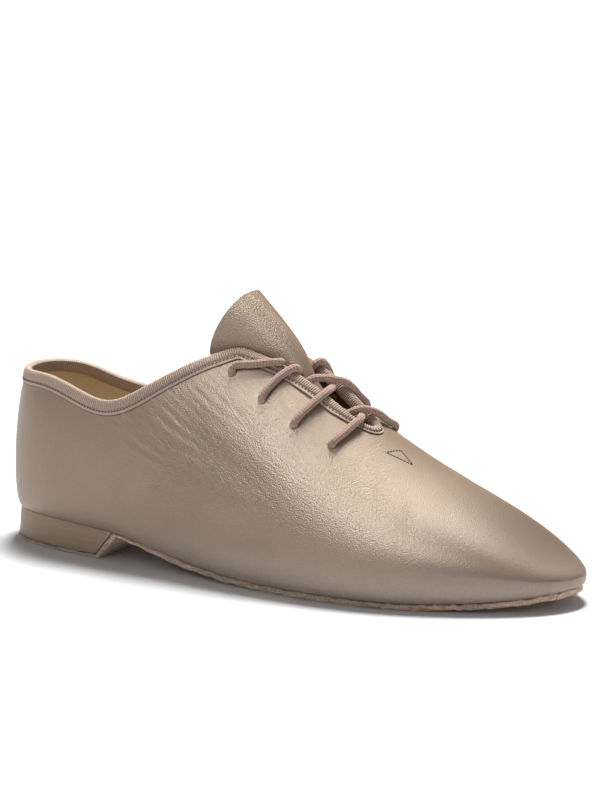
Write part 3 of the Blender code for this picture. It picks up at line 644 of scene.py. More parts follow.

# %% [markdown]
# ## Leather
# The leather is soft, dyed a greyish tan and glazed. It is smoother where it was pulled hard over
# the toe and heel, and grained like fine pebbles where it is loose. A pattern of cells gives the
# grain, stronger where the mesh says so. Long thin clouds, drawn out along the way the leather
# hangs, give the fans of fine wrinkles. Shade is painted into the colour between the pebbles, in the
# wrinkles and creases and over the toe, and a painted reflection of the white floor makes it greyer
# close to the sole.

# %% The leather's look
GRAIN = 2000
GRAIN_DEPTH = 0.0010
WRINKLE_LEAN = math.radians(-36)
WRINKLES_ALONG = 95
WRINKLES_ACROSS = 640
WRINKLES_THROUGH = 120
GLAZE = {"Metallic": 0.05, "IOR": 1.75, "Specular IOR Level": 0.88,
         "Specular Tint": (1.0, 0.86, 0.72, 1.0)}
LEATHER = shade(130, 109, 88)
LEATHER_DARK = shade(118, 97, 78)
# Painted reflection of the white floor, greyer close to the sole.
FLOOR_REFLECTION = shade(144, 127, 119)
# Painted shade for the toe, the valleys of the grain, the creases and the fine wrinkles.
TOE_SHADE = shade(94, 75, 58)
PEBBLE_SHADE = shade(88, 70, 56)
CREASE_SHADE = shade(96, 76, 62)
WRINKLE_SHADE = shade(98, 79, 64)


def leather_finish(name, light, dark, low):
    finish = Finish(name, 0.42)
    for socket, value in GLAZE.items():
        finish.shader.inputs[socket].default_value = value
    x, y, z = finish.axes()
    loose = finish.stored("loose")
    fan = finish.stored("fan")
    cloud = finish.noise(24, 3.0)
    wobble = finish.noise(700, 1.0)
    warped = finish.vector(x + wobble * 0.00018, y, z + wobble * 0.00015)
    pebble = finish.pebbles(GRAIN, warped)
    along = x * math.cos(WRINKLE_LEAN) + z * math.sin(WRINKLE_LEAN)
    across = z * math.cos(WRINKLE_LEAN) - x * math.sin(WRINKLE_LEAN)
    sway = finish.noise(40, 1.0)
    drawn = finish.vector(along * WRINKLES_ALONG, (across + sway * 0.006) * WRINKLES_ACROSS,
                          y * WRINKLES_THROUGH)
    wrinkle = finish.between(finish.noise(1.0, 2.5, drawn), 0.40, 0.60)
    fine = finish.noise(2600, 2.0)
    tone = finish.between(cloud, 0.35, 0.85)
    colour = finish.blend(tone, light, dark)
    # Painted shade over the toe.
    toe_shade_mask = finish.between(x - z * 1.2, 0.105, 0.165)
    colour = finish.blend(toe_shade_mask * 0.75, colour, TOE_SHADE)
    # Painted reflection: greyer close to the sole, where the white floor is mirrored.
    colour = finish.blend(finish.between(z, 0.022, 0.005), colour, low)
    # Painted shade in the valleys between the pebbles.
    shaded_valley = finish.between(pebble, 0.85, 0.35)
    colour = finish.blend(shaded_valley * 0.30, colour, PEBBLE_SHADE)
    # Painted shade in the creases and at the seam to the sole.
    colour = finish.blend(finish.stored("crease") * 0.55, colour, CREASE_SHADE)
    # Painted shade in the troughs of the fine wrinkles.
    colour = finish.blend((1 - wrinkle) * fan * 0.45, colour, WRINKLE_SHADE)
    finish.surface("Base Color", colour)
    finish.surface("Roughness", 0.45 + 0.05 * tone + 0.03 * loose)
    height = pebble * (0.35 + 0.65 * loose) * 0.14 + wrinkle * fan * 0.04 + fine * 0.015
    finish.bump(height, GRAIN_DEPTH)
    return finish.material


leather = leather_finish("glazed_tan_leather", LEATHER, LEATHER_DARK, FLOOR_REFLECTION)
print("made", leather.name)

# %% [markdown]
# Inside, the shoe is lined with a thin golden brown cloth. Twill shows as fine slanting lines, so
# one wave at an angle is enough. Towards the toe the cloth is darker, because hardly any light gets
# in there.

# %% The lining's look


def lining_finish():
    finish = Finish("golden_lining", 0.85, sheen=0.1)
    x, y, z = finish.axes()
    slant = (x * 4200 + z * 5200 + y * 3800).sine() * 0.5 + 0.5
    cloud = finish.noise(60, 3.0)
    colour = finish.blend(cloud, shade(240, 220, 182), shade(212, 190, 152))
    colour = finish.blend(finish.between(x, 0.050, 0.090), colour, shade(74, 58, 48))
    finish.surface("Base Color", colour)
    finish.bump(slant * 0.5 + cloud, 0.00015)
    return finish.material


lining = lining_finish()
print("made", lining.name)

# %% [markdown]
# ## Creases
# Where the foot pushes and the shoe hangs empty, leather falls in soft folds. The big ones are
# listed one by one. Each is a line through three places, given as a share of the length and an angle
# up the side, with its depth and half width in millimetres. Across the line the leather dips and
# then rises on the lower side, and both ends fade out.

# %% Creases
CREASE_COLUMNS = ("side", "at_1", "up_1", "at_2", "up_2", "at_3", "up_3", "depth", "half")
CREASES = (
    (-1, 0.352, 39.0, 0.435, 33.6, 0.555, 33.0, 0.26, 1.3),
    (-1, 0.362, 42.0, 0.440, 36.4, 0.540, 35.5, 0.22, 1.1),
    (-1, 0.372, 45.0, 0.445, 39.6, 0.515, 38.4, 0.20, 1.1),
    (-1, 0.386, 48.5, 0.448, 43.6, 0.500, 42.2, 0.16, 1.0),
    (-1, 0.345, 36.0, 0.420, 30.6, 0.520, 29.4, 0.22, 1.2),
    (-1, 0.335, 33.0, 0.400, 28.0, 0.480, 26.2, 0.20, 1.2),
    (-1, 0.325, 29.0, 0.372, 25.2, 0.440, 23.4, 0.18, 1.2),
    (-1, 0.292, 24.4, 0.345, 20.6, 0.430, 19.4, 0.26, 1.3),
    (-1, 0.283, 21.6, 0.330, 18.0, 0.400, 16.6, 0.18, 1.1),
    (-1, 0.270, 18.0, 0.315, 14.6, 0.375, 13.4, 0.16, 1.2),
    (-1, 0.245, 24.6, 0.268, 23.2, 0.290, 21.8, 0.22, 0.9),
    (-1, 0.236, 23.4, 0.258, 21.6, 0.276, 20.2, 0.16, 0.9),
    (-1, 0.370, 31.0, 0.460, 23.0, 0.570, 20.0, 0.40, 5.5),
    (-1, 0.700, 66.0, 0.735, 47.0, 0.740, 30.0, 0.07, 2.8),
    (-1, 0.735, 70.0, 0.775, 52.0, 0.785, 36.0, 0.06, 2.8),
    (1, 0.352, 39.0, 0.430, 33.0, 0.540, 31.0, 0.26, 1.3),
    (1, 0.364, 43.0, 0.440, 37.0, 0.520, 35.0, 0.22, 1.2),
    (1, 0.335, 33.0, 0.400, 27.0, 0.480, 25.0, 0.22, 1.3),
    (1, 0.280, 24.0, 0.340, 19.0, 0.410, 17.0, 0.24, 1.4),
    (1, 0.370, 30.0, 0.460, 22.0, 0.570, 19.0, 0.40, 5.5),
    (1, 0.700, 66.0, 0.730, 47.0, 0.735, 30.0, 0.07, 2.8),
    (1, 0.740, 68.0, 0.775, 50.0, 0.780, 34.0, 0.06, 2.8),
)
CREASE_STEPS = 40
CREASE_REACH = 0.08
SWELL_AWAY = 1.9
SWELL_BELOW = 0.7
SWELL_ABOVE = 0.35


def creases(places, points):
    """Height of the creases at each point, and how deep inside one it lies, from 0 to 1."""
    height = np.zeros(points.shape[:-1])
    inside = np.zeros(points.shape[:-1])
    for row in CREASES:
        crease = dict(zip(CREASE_COLUMNS, row))
        t = np.linspace(0, 1, CREASE_STEPS)
        at = spline([0, 0.5, 1], [crease["at_1"], crease["at_2"], crease["at_3"]], t)
        up = spline([0, 0.5, 1], [crease["up_1"], crease["up_2"], crease["up_3"]], t)
        line = skin(turn_of(at), lap_on(crease["side"], up))
        near = np.linalg.norm(points - line.mean(axis=0), axis=-1) < CREASE_REACH
        gap = points[near][:, None, :] - line[None, :, :]
        away = np.linalg.norm(gap, axis=-1)
        nearest = away.argmin(axis=1)
        away = away.min(axis=1) / (0.001 * crease["half"])
        below = up[nearest] > places[near]
        fade = np.sin(math.pi * np.clip(t[nearest], 0.02, 0.98))**0.7
        dip = np.exp(-away**2)
        rise = np.where(below, SWELL_BELOW, SWELL_ABOVE) * np.exp(-(away - SWELL_AWAY)**2)
        height[near] += 0.001 * crease["depth"] * fade * (rise - dip)
        inside[near] += fade * dip * min(1.0, crease["depth"] / 0.5)
    return height, np.clip(inside, 0, 1)


print(len(CREASES), "creases, the deepest %.2f mm" % max(column(CREASES, CREASE_COLUMNS, "depth")))

# %% [markdown]
# ## The upper
# The upper is a hollow shell of leather and lining together, 1.6 mm thick. On a real shoe it is two
# quarters sewn at the heel and vamp. Here each side is a fine outer grid and a coarser inner one,
# joined along the top edge and along the edge turned in under the foot.

# %% Ribs and rows of the upper
WALL = 0.0016
LASTING_MARGIN = 0.0080
STRETCHES = ((0.25, 84), (0.48, 104), (THROAT_TURN, 58))
RIBS_THROAT_END = 26
RIBS_FRONT = 112
ROWS_UP = 62
ROWS_DOWN = 24
INNER_ROWS_UP = 12
INNER_ROWS_DOWN = 6
SEAM_STARTS = -78
SEAM_DARKEST = -89


def rib_turns():
    """Positions of the ribs, closer together round the collar's corner and the throat's end."""
    turns = [0.0]
    for at, ribs in STRETCHES:
        turns += list(np.linspace(turns[-1], float(turn_of(at)), ribs + 1)[1:])
    arc = np.sin(np.linspace(0, math.pi / 2, RIBS_THROAT_END))[1:]
    close = turn_of(THROAT_TURN + (THROAT_END - THROAT_TURN) * arc)
    front = np.linspace(close[-1], 1, RIBS_FRONT)[1:]
    return np.concatenate([turns, close, front])


def side_laps(turns, side, rows_up, rows_down):
    """Angles of the rows of one side, from the top edge down to the bottom edge."""
    edge = edge_lap(turns, side)
    edge = np.where(at_of(turns) > THROAT_END - 1e-6, 90.0, edge)
    up = np.linspace(1, 0, rows_up)[None, :] * edge[:, None]
    down = -90 * np.linspace(0, 1, rows_down + 1)[1:]
    return np.concatenate([up, np.broadcast_to(down, (len(turns), rows_down))], 1)


def soft_step(low, high, value):
    """0 below low, 1 above high, and smooth from one to the other."""
    t = np.clip((value - low) / (high - low), 0, 1)
    return t * t * (3 - 2 * t)


def looseness(at, up):
    """How grained the leather is: loose over the instep and vamp, smooth at heel and toe."""
    front = 1 - soft_step(0.72, 0.93, at)
    back = soft_step(0.22, 0.40, at)
    low = 0.25 + 0.75 * soft_step(-40, 10, up)
    return front * back * low


def wrinkling(at, up):
    """Where the fans of fine wrinkles lie: the side of the instep, fading forwards."""
    along = soft_step(0.24, 0.36, at) * (1 - soft_step(0.56, 0.70, at))
    return along * soft_step(2, 18, up) * (1 - soft_step(58, 74, up))


print(len(rib_turns()), "ribs from the heel to the toe")

# %% [markdown]
# The shell is put together one side after the other: the outer grid with its creases, the inner
# one, and the strip that is turned in under the foot. The creases fade out at the top edge, where
# the tape holds the leather flat.

# %% The upper's shell


def make_upper():
    grids = Grids("loose", "fan", "crease", "lined")
    turns = rib_turns()
    open_ribs = int(np.sum(at_of(turns) < THROAT_END - 1e-6)) + 1
    for side in (-1.0, 1.0):
        up = side_laps(turns, side, ROWS_UP, ROWS_DOWN)
        laps = lap_on(side, up)
        outer = skin(turns[:, None], laps)
        height, inside = creases(up, outer)
        held = soft_step(0.0, 0.006, np.linalg.norm(outer - outer[:, :1], axis=-1))
        held = np.where(at_of(turns)[:, None] > THROAT_END, 1.0, held)
        outer = outer + (held * height)[..., None] * skin_normal(turns[:, None], laps)
        at = np.broadcast_to(at_of(turns)[:, None], up.shape)
        # Painted shade: in the creases, and at the seam to the sole as dark as in a deep crease.
        dark = np.maximum(inside * 0.5, soft_step(SEAM_STARTS, SEAM_DARKEST, up))
        numbers = grids.add(outer, loose=looseness(at, up), fan=wrinkling(at, up), crease=dark)
        grids.cover(numbers)
        up = side_laps(turns, side, INNER_ROWS_UP, INNER_ROWS_DOWN)
        laps = lap_on(side, up)
        inner = skin(turns[:, None], laps) - WALL * skin_normal(turns[:, None], laps)
        lined = grids.add(inner, lined=1.0)
        grids.cover(lined)
        x, y = sole_line(turns, side, LASTING_MARGIN)
        turned = np.stack([x, y, underside(x)], -1)
        edge = grids.add(turned)
        top = grids.add(turned + [0, 0, WALL], lined=1.0)
        grids.join(numbers[:, -1], edge)
        grids.join(edge, top)
        grids.join(top, lined[:, -1])
        grids.join(numbers[:open_ribs, 0], lined[:open_ribs, 0])
    return grids.mesh("upper")


upper_mesh = make_upper()
print("upper before its lace holes:", len(upper_mesh.vertices), "points")

# %% [markdown]
# ## Lace holes
# The holes are punched straight through the leather, with no metal eyelet. Their places are shares
# of the length and of the ball's width. Two helpers find the height of the leather over a place and
# the way out of it.

# %% Places over the foot
LACE_HOLE_RADIUS = 0.0017
HOLES_LATERAL = ((0.628, -0.247), (0.568, -0.284), (0.508, -0.278), (0.445, -0.240))
HOLES_MEDIAL = ((0.644, 0.225), (0.586, 0.252), (0.524, 0.262), (0.458, 0.240))


def roof(x, y):
    """Height of the closed last over a plan point in front of the ankle."""
    turn = turn_of(x / LENGTH)
    spine = BALL_WIDTH * last("spine", turn)
    side = np.where(y > spine, 1.0, -1.0)
    reach = BALL_WIDTH * reach_at(turn, side)
    level, crown = level_and_crown(turn)
    fall = last("fall", turn)
    share = np.clip(np.abs(y - spine) / reach, 0, 1)**fall
    return level + (crown - level) * (1 - share)**(1 / fall)


def over(at, across, lift):
    """A point over the leather: shares of LENGTH and BALL_WIDTH, and metres along the normal."""
    x = LENGTH * np.asarray(at, float)
    y = BALL_WIDTH * np.asarray(across, float)
    step = 2e-4
    slope_x = (roof(x + step, y) - roof(x - step, y)) / (2 * step)
    slope_y = (roof(x, y + step) - roof(x, y - step)) / (2 * step)
    normal = np.stack([-slope_x, -slope_y, np.ones_like(x)], -1)
    normal = normal / np.linalg.norm(normal, axis=-1, keepdims=True)
    return np.stack([x, y, roof(x, y)], -1) + np.asarray(lift)[..., None] * normal


print("first lace hole, in mm:", np.round(1000 * over(*HOLES_LATERAL[0], 0.0), 1))

# %% [markdown]
# A punch is a short rod. The eight rods are one mesh, and a Boolean modifier takes them all out of
# the shell. Only its result is kept, so no modifier stays on the piece.

# %% Punching the holes
PUNCH_SIDES = 28


def square_to(axis):
    """Two unit vectors square to an axis."""
    first = np.cross(axis, (0, 1, 0))
    first = first / np.linalg.norm(first)
    return first, np.cross(axis, first)


def make_punch():
    grids = Grids()
    angles = np.linspace(0, 2 * math.pi, PUNCH_SIDES + 1)[:-1]
    for at, across in HOLES_LATERAL + HOLES_MEDIAL:
        tip = over(at, across, 2 * WALL)
        foot = over(at, across, -3 * WALL)
        first, second = square_to((tip - foot) / np.linalg.norm(tip - foot))
        circle = LACE_HOLE_RADIUS * (np.outer(np.cos(angles), first)
                                     + np.outer(np.sin(angles), second))
        rings = grids.add(np.stack([tip + circle, foot + circle]))
        grids.cover(rings, closed=True)
        grids.cap(rings[0])
        grids.cap(rings[1])
    punch = bpy.data.objects.new("punch", grids.mesh("punch"))
    bpy.context.scene.collection.objects.link(punch)
    return punch


def settle(mesh, set_up):
    """Puts a mesh through a modifier and keeps only what comes out, with no materials yet."""
    holder = bpy.data.objects.new("holder", mesh)
    bpy.context.scene.collection.objects.link(holder)
    set_up(holder)
    bpy.context.view_layer.update()
    graph = bpy.context.evaluated_depsgraph_get()
    result = bpy.data.meshes.new_from_object(
        holder.evaluated_get(graph), preserve_all_data_layers=True, depsgraph=graph)
    name = mesh.name
    holder.modifiers.clear()
    bpy.data.objects.remove(holder, do_unlink=True)
    mesh.name = name + "_before"
    result.name = name
    result.materials.clear()
    return result


def punched(holder):
    cut = holder.modifiers.new("lace holes", "BOOLEAN")
    cut.operation = "DIFFERENCE"
    cut.solver = "EXACT"
    cut.object = punch


punch = make_punch()
upper_mesh = settle(upper_mesh, punched)
bpy.data.objects.remove(punch, do_unlink=True)
print("upper with its lace holes:", len(upper_mesh.vertices), "points")

# %% [markdown]
# The lining is the same shell seen from inside, so each face takes leather or lining from the
# number stored with its points.

# %% Leather outside, lining inside


def line_inside(mesh):
    lined = np.zeros(len(mesh.vertices), np.float32)
    mesh.attributes["lined"].data.foreach_get("value", lined)
    for face in mesh.polygons:
        inner = sum(lined[corner] for corner in face.vertices) / len(face.vertices)
        face.material_index = int(inner > 0.9)
    mesh.shade_smooth()
    mesh.set_sharp_from_angle(angle=math.radians(50))
    return int(sum(face.material_index for face in mesh.polygons))


print(line_inside(upper_mesh), "faces of lining")
show(upper_mesh, (leather, lining), ("upper",))

# %% [markdown]
# ## The tape round the edge
# A ribbed tape is folded over the raw edge of the leather and sewn down. Its path is the leather's
# top edge. To lay a strip of even width on a bent surface, each point slides over the skin until it
# is the right distance from the edge. Behind the ankle the tape is pressed flat, at the throat it
# is rolled and thick, and round the throat's end it is pulled narrow.

# %% The line that the tape follows
TAPE_WIDTH = 0.0054
RIB_BAND = 0.0033
TAPE_THICKNESS = 0.0007
STRIP_THICKNESS = 0.00038
RIB_PITCH = 0.00088
STATIONS_PER_RIB = 5
PULLED_NARROW = 0.42
PRESSED_FLAT = 0.40


def top_edge(spacing):
    """Stations at even steps right round the leather's top edge, as positions, angles and the
    distance walked."""
    open_turns = np.linspace(0, float(turn_of(THROAT_TURN)), 1200)
    arc = np.sin(np.linspace(0, math.pi / 2, 240))[1:]
    closing = turn_of(THROAT_TURN + (THROAT_END - THROAT_TURN) * arc)
    turns = np.concatenate([open_turns, closing])
    lateral = edge_lap(turns, -1.0)
    medial = 180 - edge_lap(turns, 1.0)
    lateral[-1] = 90.0
    there = np.stack([turns, lateral], -1)
    back = np.stack([turns, medial], -1)[::-1][1:]
    path = np.concatenate([there, back])
    points = skin(path[:, 0], path[:, 1])
    walked = walked_along(points)
    even = np.linspace(0, walked[-1], int(round(walked[-1] / spacing)) + 1)[:-1]
    turn = np.interp(even, walked, path[:, 0])
    return turn, np.interp(even, walked, path[:, 1]), even


def slide(turn, lap, shift):
    """Moves points over the skin by vectors, and gives their new places."""
    target = skin(turn, lap) + shift
    for _ in range(4):
        along = skin(turn + ALONG_STEP, lap) - skin(turn - ALONG_STEP, lap)
        along = along / (2 * ALONG_STEP)
        across = (skin(turn, lap + OVER_STEP) - skin(turn, lap - OVER_STEP)) / (2 * OVER_STEP)
        miss = target - skin(turn, lap)
        aa = np.sum(along * along, -1)
        bb = np.sum(across * across, -1)
        ab = np.sum(along * across, -1)
        ra = np.sum(along * miss, -1)
        rb = np.sum(across * miss, -1)
        slant = aa * bb - ab * ab
        turn = turn + (ra * bb - rb * ab) / slant
        lap = lap + (rb * aa - ra * ab) / slant
    return turn, lap


class Edge:
    """The leather's edge at even stations, with the way into the leather and the way out."""

    def __init__(self, spacing):
        self.turn, self.lap, self.walked = top_edge(spacing)
        self.point = skin(self.turn, self.lap)
        self.out = skin_normal(self.turn, self.lap)
        ahead = np.roll(self.point, -1, 0) - self.point
        behind = self.point - np.roll(self.point, 1, 0)
        ahead /= np.linalg.norm(ahead, axis=1, keepdims=True)
        behind /= np.linalg.norm(behind, axis=1, keepdims=True)
        into = np.cross(ahead + behind, self.out)
        self.into = into / np.linalg.norm(into, axis=1, keepdims=True)
        along = at_of(self.turn)
        self.narrow = 1 - PULLED_NARROW * soft_step(0.595, 0.640, along)
        self.plump = PRESSED_FLAT + (1 - PRESSED_FLAT) * soft_step(0.38, 0.50, along)

    def at(self, distance, height):
        """Points that far in from the edge and that high over the leather's outer face."""
        distance = np.broadcast_to(distance, self.turn.shape)
        height = np.broadcast_to(height, self.turn.shape)[:, None]
        if distance.max() <= 0:
            return self.point + distance[:, None] * self.into + height * self.out
        shift = (distance * self.narrow)[:, None] * self.into
        turn, lap = slide(self.turn, self.lap, shift)
        return skin(turn, lap) + height * skin_normal(turn, lap)


edge = Edge(RIB_PITCH / STATIONS_PER_RIB)
round_length = float(edge.walked[-1])
print("the tape is %.0f mm long" % (1000 * round_length))

# %% [markdown]
# The tape's section is a flat U over the edge. Outside it has a ribbed band and, below that, a thin
# flat strip with the stitches. Each point of the section is a distance in from the edge and a
# height over the leather, and says how much of the ribs' height it gets and how much painted shade
# it gets, along the strip's lower edge and at the foot of the ribbed band. The ribs are low behind
# the heel and stand up most round the throat.

# %% The tape before its ribs
RIBS_BEHIND = 0.40
RIBS_MORE_AT_THE_SIDE = 0.38
RIBS_MORE_AT_THE_THROAT = 0.22


def tape_section():
    """Distance, height, share of the ribs' height and painted shade of each lane of the tape."""
    face = SIZE_GAP + TAPE_THICKNESS * edge.plump
    strip = SIZE_GAP + STRIP_THICKNESS * edge.plump
    low = -WALL
    bend = 0.35 * face
    return (
        (1.07 * TAPE_WIDTH, -0.00002, 0.0, 1.0),
        (1.06 * TAPE_WIDTH, 0.00005, 0.0, 1.0),
        (1.00 * TAPE_WIDTH, 0.00006, 0.0, 1.0),
        (0.995 * TAPE_WIDTH, 0.9 * strip, 0.0, 0.5),
        (0.96 * TAPE_WIDTH, strip, 0.0, 0.0),
        (1.14 * RIB_BAND, strip, 0.0, 0.0),
        (1.05 * RIB_BAND, 0.9 * strip, 0.0, 0.6),
        (1.00 * RIB_BAND, 0.8 * face, 0.4, 0.3),
        (0.92 * RIB_BAND, 1.15 * face, 1.0, 0.0),
        (0.60 * RIB_BAND, 1.25 * face, 1.0, 0.0),
        (0.30 * RIB_BAND, 1.20 * face, 1.0, 0.0),
        (0.0, face, 1.0, 0.0),
        (-0.45 * face, 0.72 * face, 1.0, 0.0),
        (-0.80 * face, bend, 1.0, 0.0),
        (-face, 0.5 * low, 1.0, 0.0),
        (-0.80 * face, low - bend, 1.0, 0.0),
        (-0.45 * face, low - 0.72 * face, 0.8, 0.0),
        (0.0, low - face, 0.6, 0.0),
        (0.45 * TAPE_WIDTH, low - face, 0.5, 0.0),
        (0.80 * TAPE_WIDTH, low - face, 0.3, 0.0),
        (0.80 * TAPE_WIDTH, low, 0.0, 0.0),
        (0.40 * TAPE_WIDTH, low, 0.0, 0.0),
        (-0.2 * SIZE_GAP, low, 0.0, 0.0),
        (-0.2 * SIZE_GAP, 0.0, 0.0, 0.0),
        (0.40 * TAPE_WIDTH, 0.0, 0.0, 0.0),
    )


def make_tape():
    """The folded tape as a closed tube of rings, still without ribs."""
    grids = Grids("run", "ribbing", "dark")
    lanes = []
    at = at_of(edge.turn)
    crisp = (RIBS_BEHIND + RIBS_MORE_AT_THE_SIDE * soft_step(0.10, 0.26, at)
             + RIBS_MORE_AT_THE_THROAT * soft_step(0.42, 0.50, at))
    for distance, height, ribbed, dark in tape_section():
        points = edge.at(distance, height)
        lanes.append(grids.add(points, run=edge.walked, ribbing=ribbed * crisp, dark=dark))
    lanes = lanes + lanes[:1]
    for first, second in zip(lanes, lanes[1:]):
        grids.join(first, second, closed=True)
    return grids.mesh("collar_tape")


tape_mesh = make_tape()
print("tape before its ribs:", len(tape_mesh.vertices), "points")

# %% [markdown]
# Ribs, stitches and suede fibres repeat hundreds of times, so small Geometry Nodes trees make them.
# This class makes a tree with named inputs, reads what is stored on the mesh, and ends the tree.

# %% Geometry Nodes trees


class Tree(Nodes):
    """A Geometry Nodes tree with named inputs."""

    def __init__(self, name, **inputs):
        tree = bpy.data.node_groups.new(name, "GeometryNodeTree")
        super().__init__(tree)
        sockets = tree.interface
        sockets.new_socket("Geometry", in_out="INPUT", socket_type="NodeSocketGeometry")
        self.inputs = {}
        for label, value in inputs.items():
            made = sockets.new_socket(label, in_out="INPUT", socket_type="NodeSocketFloat")
            self.inputs[label] = (made.identifier, value)
        sockets.new_socket("Geometry", in_out="OUTPUT", socket_type="NodeSocketGeometry")
        self.group_in = tree.nodes.new("NodeGroupInput")
        self.group_out = tree.nodes.new("NodeGroupOutput")
        self.geometry = Number(self, self.group_in.outputs[0])

    def given(self, label):
        """One of the named inputs."""
        return Number(self, self.group_in.outputs[label])

    def stored(self, name, kind="FLOAT"):
        """A value stored with the points of the mesh."""
        return self.make("GeometryNodeInputNamedAttribute", {"data_type": kind}, {"Name": name})

    def scaled(self, vector, number):
        """A vector times a number."""
        values = {0: vector, "Scale": number}
        return self.make("ShaderNodeVectorMath", {"operation": "SCALE"}, values)

    def ends_in(self, geometry, material):
        """Realises what was made, gives it its material and ends the tree."""
        whole = self.make("GeometryNodeRealizeInstances", {}, {0: geometry})
        painted = self.make("GeometryNodeSetMaterial", {}, {0: whole, "Material": material})
        self.put(self.group_out.inputs[0], painted)

    def on(self, holder):
        """Puts the tree on an object, with its inputs."""
        modifier = holder.modifiers.new(self.tree.name, "NODES")
        modifier.node_group = self.tree
        for identifier, value in self.inputs.values():
            modifier[identifier] = value


print("made the class", Tree.__name__)

# %% [markdown]
# Ribs repeat every 0.9 mm, some four hundred times. The tree raises them: each point moves out
# along its normal by a wave of the distance walked. Its inputs are the pitch and the height of a
# rib. The colour follows the same wave, with painted shade in the valleys.

# %% Ribs on the tape


def tape_finish():
    finish = Finish("ribbed_tape", 0.72, sheen=0.25)
    run = finish.stored("run")
    ribbing = finish.stored("ribbing")
    wave = (run * (math.pi / RIB_PITCH)).sine().size()
    thread = finish.noise(3200, 2.0)
    cloud = finish.noise(45, 2.0)
    colour = finish.blend(cloud, shade(186, 159, 139), shade(170, 144, 124))
    # Painted shade in the valleys between the ribs.
    shaded_valley = finish.between(wave, 0.75, 0.20) * ribbing
    colour = finish.blend(shaded_valley * 0.92, colour, shade(58, 44, 36))
    colour = finish.blend(thread * 0.15, colour, shade(206, 184, 166))
    # Painted shade along the strip's lower edge and at the foot of the ribbed band.
    colour = finish.blend(finish.stored("dark") * 0.9, colour, shade(48, 37, 31))
    finish.surface("Base Color", colour)
    finish.bump(thread, 0.00010)
    return finish.material


tape_paint = tape_finish()


def ribs_tree():
    tree = Tree("ribs_of_the_tape", Pitch=RIB_PITCH, Height=0.00050)
    wave = (tree.stored("run") * math.pi / tree.given("Pitch")).sine().size()
    lift = (wave - 0.6) * tree.given("Height") * tree.stored("ribbing")
    offset = tree.scaled(tree.make("GeometryNodeInputNormal"), lift)
    moved = tree.make("GeometryNodeSetPosition", {}, {0: tree.geometry, "Offset": offset})
    tree.ends_in(moved, tape_paint)
    return tree


tape_mesh = settle(tape_mesh, ribs_tree().on)
show(tape_mesh, (tape_paint,), ("collar_binding",))

# %% [markdown]
# ## Stitches
# A machine sews the tape down with short stitches, about seven to the centimetre, and each dips
# into a needle hole. The seam is a line of points on the tape with the way out of the leather kept
# on each. The tree walks it in even steps and lays a thread at each, and the shade in each needle
# hole is painted as a small dark shape.

# %% Stitches along the tape
STITCH_PITCH = 0.0015
STITCH_SHARE = 0.72
THREAD_RADIUS = 0.00026
HOLE_SHARE = 0.52
HOLE_RADIUS = 0.00052


def seam_mesh(name, points, outs, closed):
    """A line of points to sew along, in the shoe's own place."""
    made = bpy.data.meshes.new(name)
    count = len(points)
    links = [(i, i + 1) for i in range(count - 1)]
    if closed:
        links.append((count - 1, 0))
    made.from_pydata((points - [HEEL_CENTRE * LENGTH, 0, 0]).tolist(), links, [])
    out = made.attributes.new("out", "FLOAT_VECTOR", "POINT")
    out.data.foreach_set("vector", outs.reshape(-1).astype(np.float32))
    return made


def facing(tree, along, out):
    """A rotation with X along the seam and Z out of the leather."""
    kind = "FunctionNodeAlignRotationToVector"
    first = tree.make(kind, {"axis": "X"}, {"Vector": along})
    return tree.make(kind, {"axis": "Z", "pivot_axis": "X"}, {"Rotation": first, "Vector": out})


def stitches_tree(name, material, share, radius, sides, rings, sink):
    """Small rounded shapes at even steps along a seam."""
    tree = Tree(name, Pitch=STITCH_PITCH, Radius=radius, Share=share)
    curve = tree.make("GeometryNodeMeshToCurve", {}, {0: tree.geometry})
    values = {0: curve, "Length": tree.given("Pitch")}
    even = tree.make("GeometryNodeResampleCurve", {"mode": "LENGTH"}, values)
    along = tree.make("GeometryNodeInputTangent")
    out = tree.stored("out", "FLOAT_VECTOR")
    ball = tree.make("GeometryNodeMeshUVSphere", {}, {0: sides, 1: rings, 2: 1.0})
    half = tree.given("Pitch") * tree.given("Share") * 0.5
    size = tree.make("ShaderNodeCombineXYZ", {}, {0: half, 1: tree.given("Radius"),
                                                  2: tree.given("Radius")})
    values = {0: even, "Instance": ball, "Rotation": facing(tree, along, out), "Scale": size}
    laid = tree.make("GeometryNodeInstanceOnPoints", {}, values)
    shift = tree.scaled(out, -sink)
    moved = tree.make("GeometryNodeTranslateInstances", {},
                      {0: laid, "Translation": shift, "Local Space": False})
    tree.ends_in(moved, material)
    return tree


def thread_finish(name, colour):
    finish = Finish(name, 0.70)
    strand = finish.noise(5200, 1.0)
    finish.surface("Base Color", finish.blend(strand, colour, shade(96, 80, 74)))
    return finish.material


thread = thread_finish("sewing_thread", shade(92, 76, 66))
# Painted shade: a dark material for the shade inside each needle hole.
hole_shade = thread_finish("needle_hole", shade(44, 34, 30))


def sew(name, points, outs, closed, slot="binding"):
    """Threads and painted needle-hole shade along a seam, as two pieces."""
    threads = stitches_tree(name + "_threads", thread, STITCH_SHARE, THREAD_RADIUS,
                            sides=8, rings=5, sink=0.4 * THREAD_RADIUS)
    show(settle(seam_mesh(name, points, outs, closed), threads.on), (thread,))
    walked = walked_along(points)
    count = np.arange(len(points))
    half = np.interp(walked + 0.5 * STITCH_PITCH, walked, count)
    between = np.stack([np.interp(half, count, points[:, i]) for i in range(3)], -1)
    holes = stitches_tree(name + "_needle_holes", hole_shade, HOLE_SHARE, HOLE_RADIUS,
                          sides=8, rings=4, sink=0.5 * HOLE_RADIUS)
    show(settle(seam_mesh(name + "_holes", between, outs, closed), holes.on), (hole_shade,))


seam_points = edge.at(0.75 * TAPE_WIDTH, SIZE_GAP + STRIP_THICKNESS * edge.plump)
sew("tape_seam", seam_points, edge.out, True)

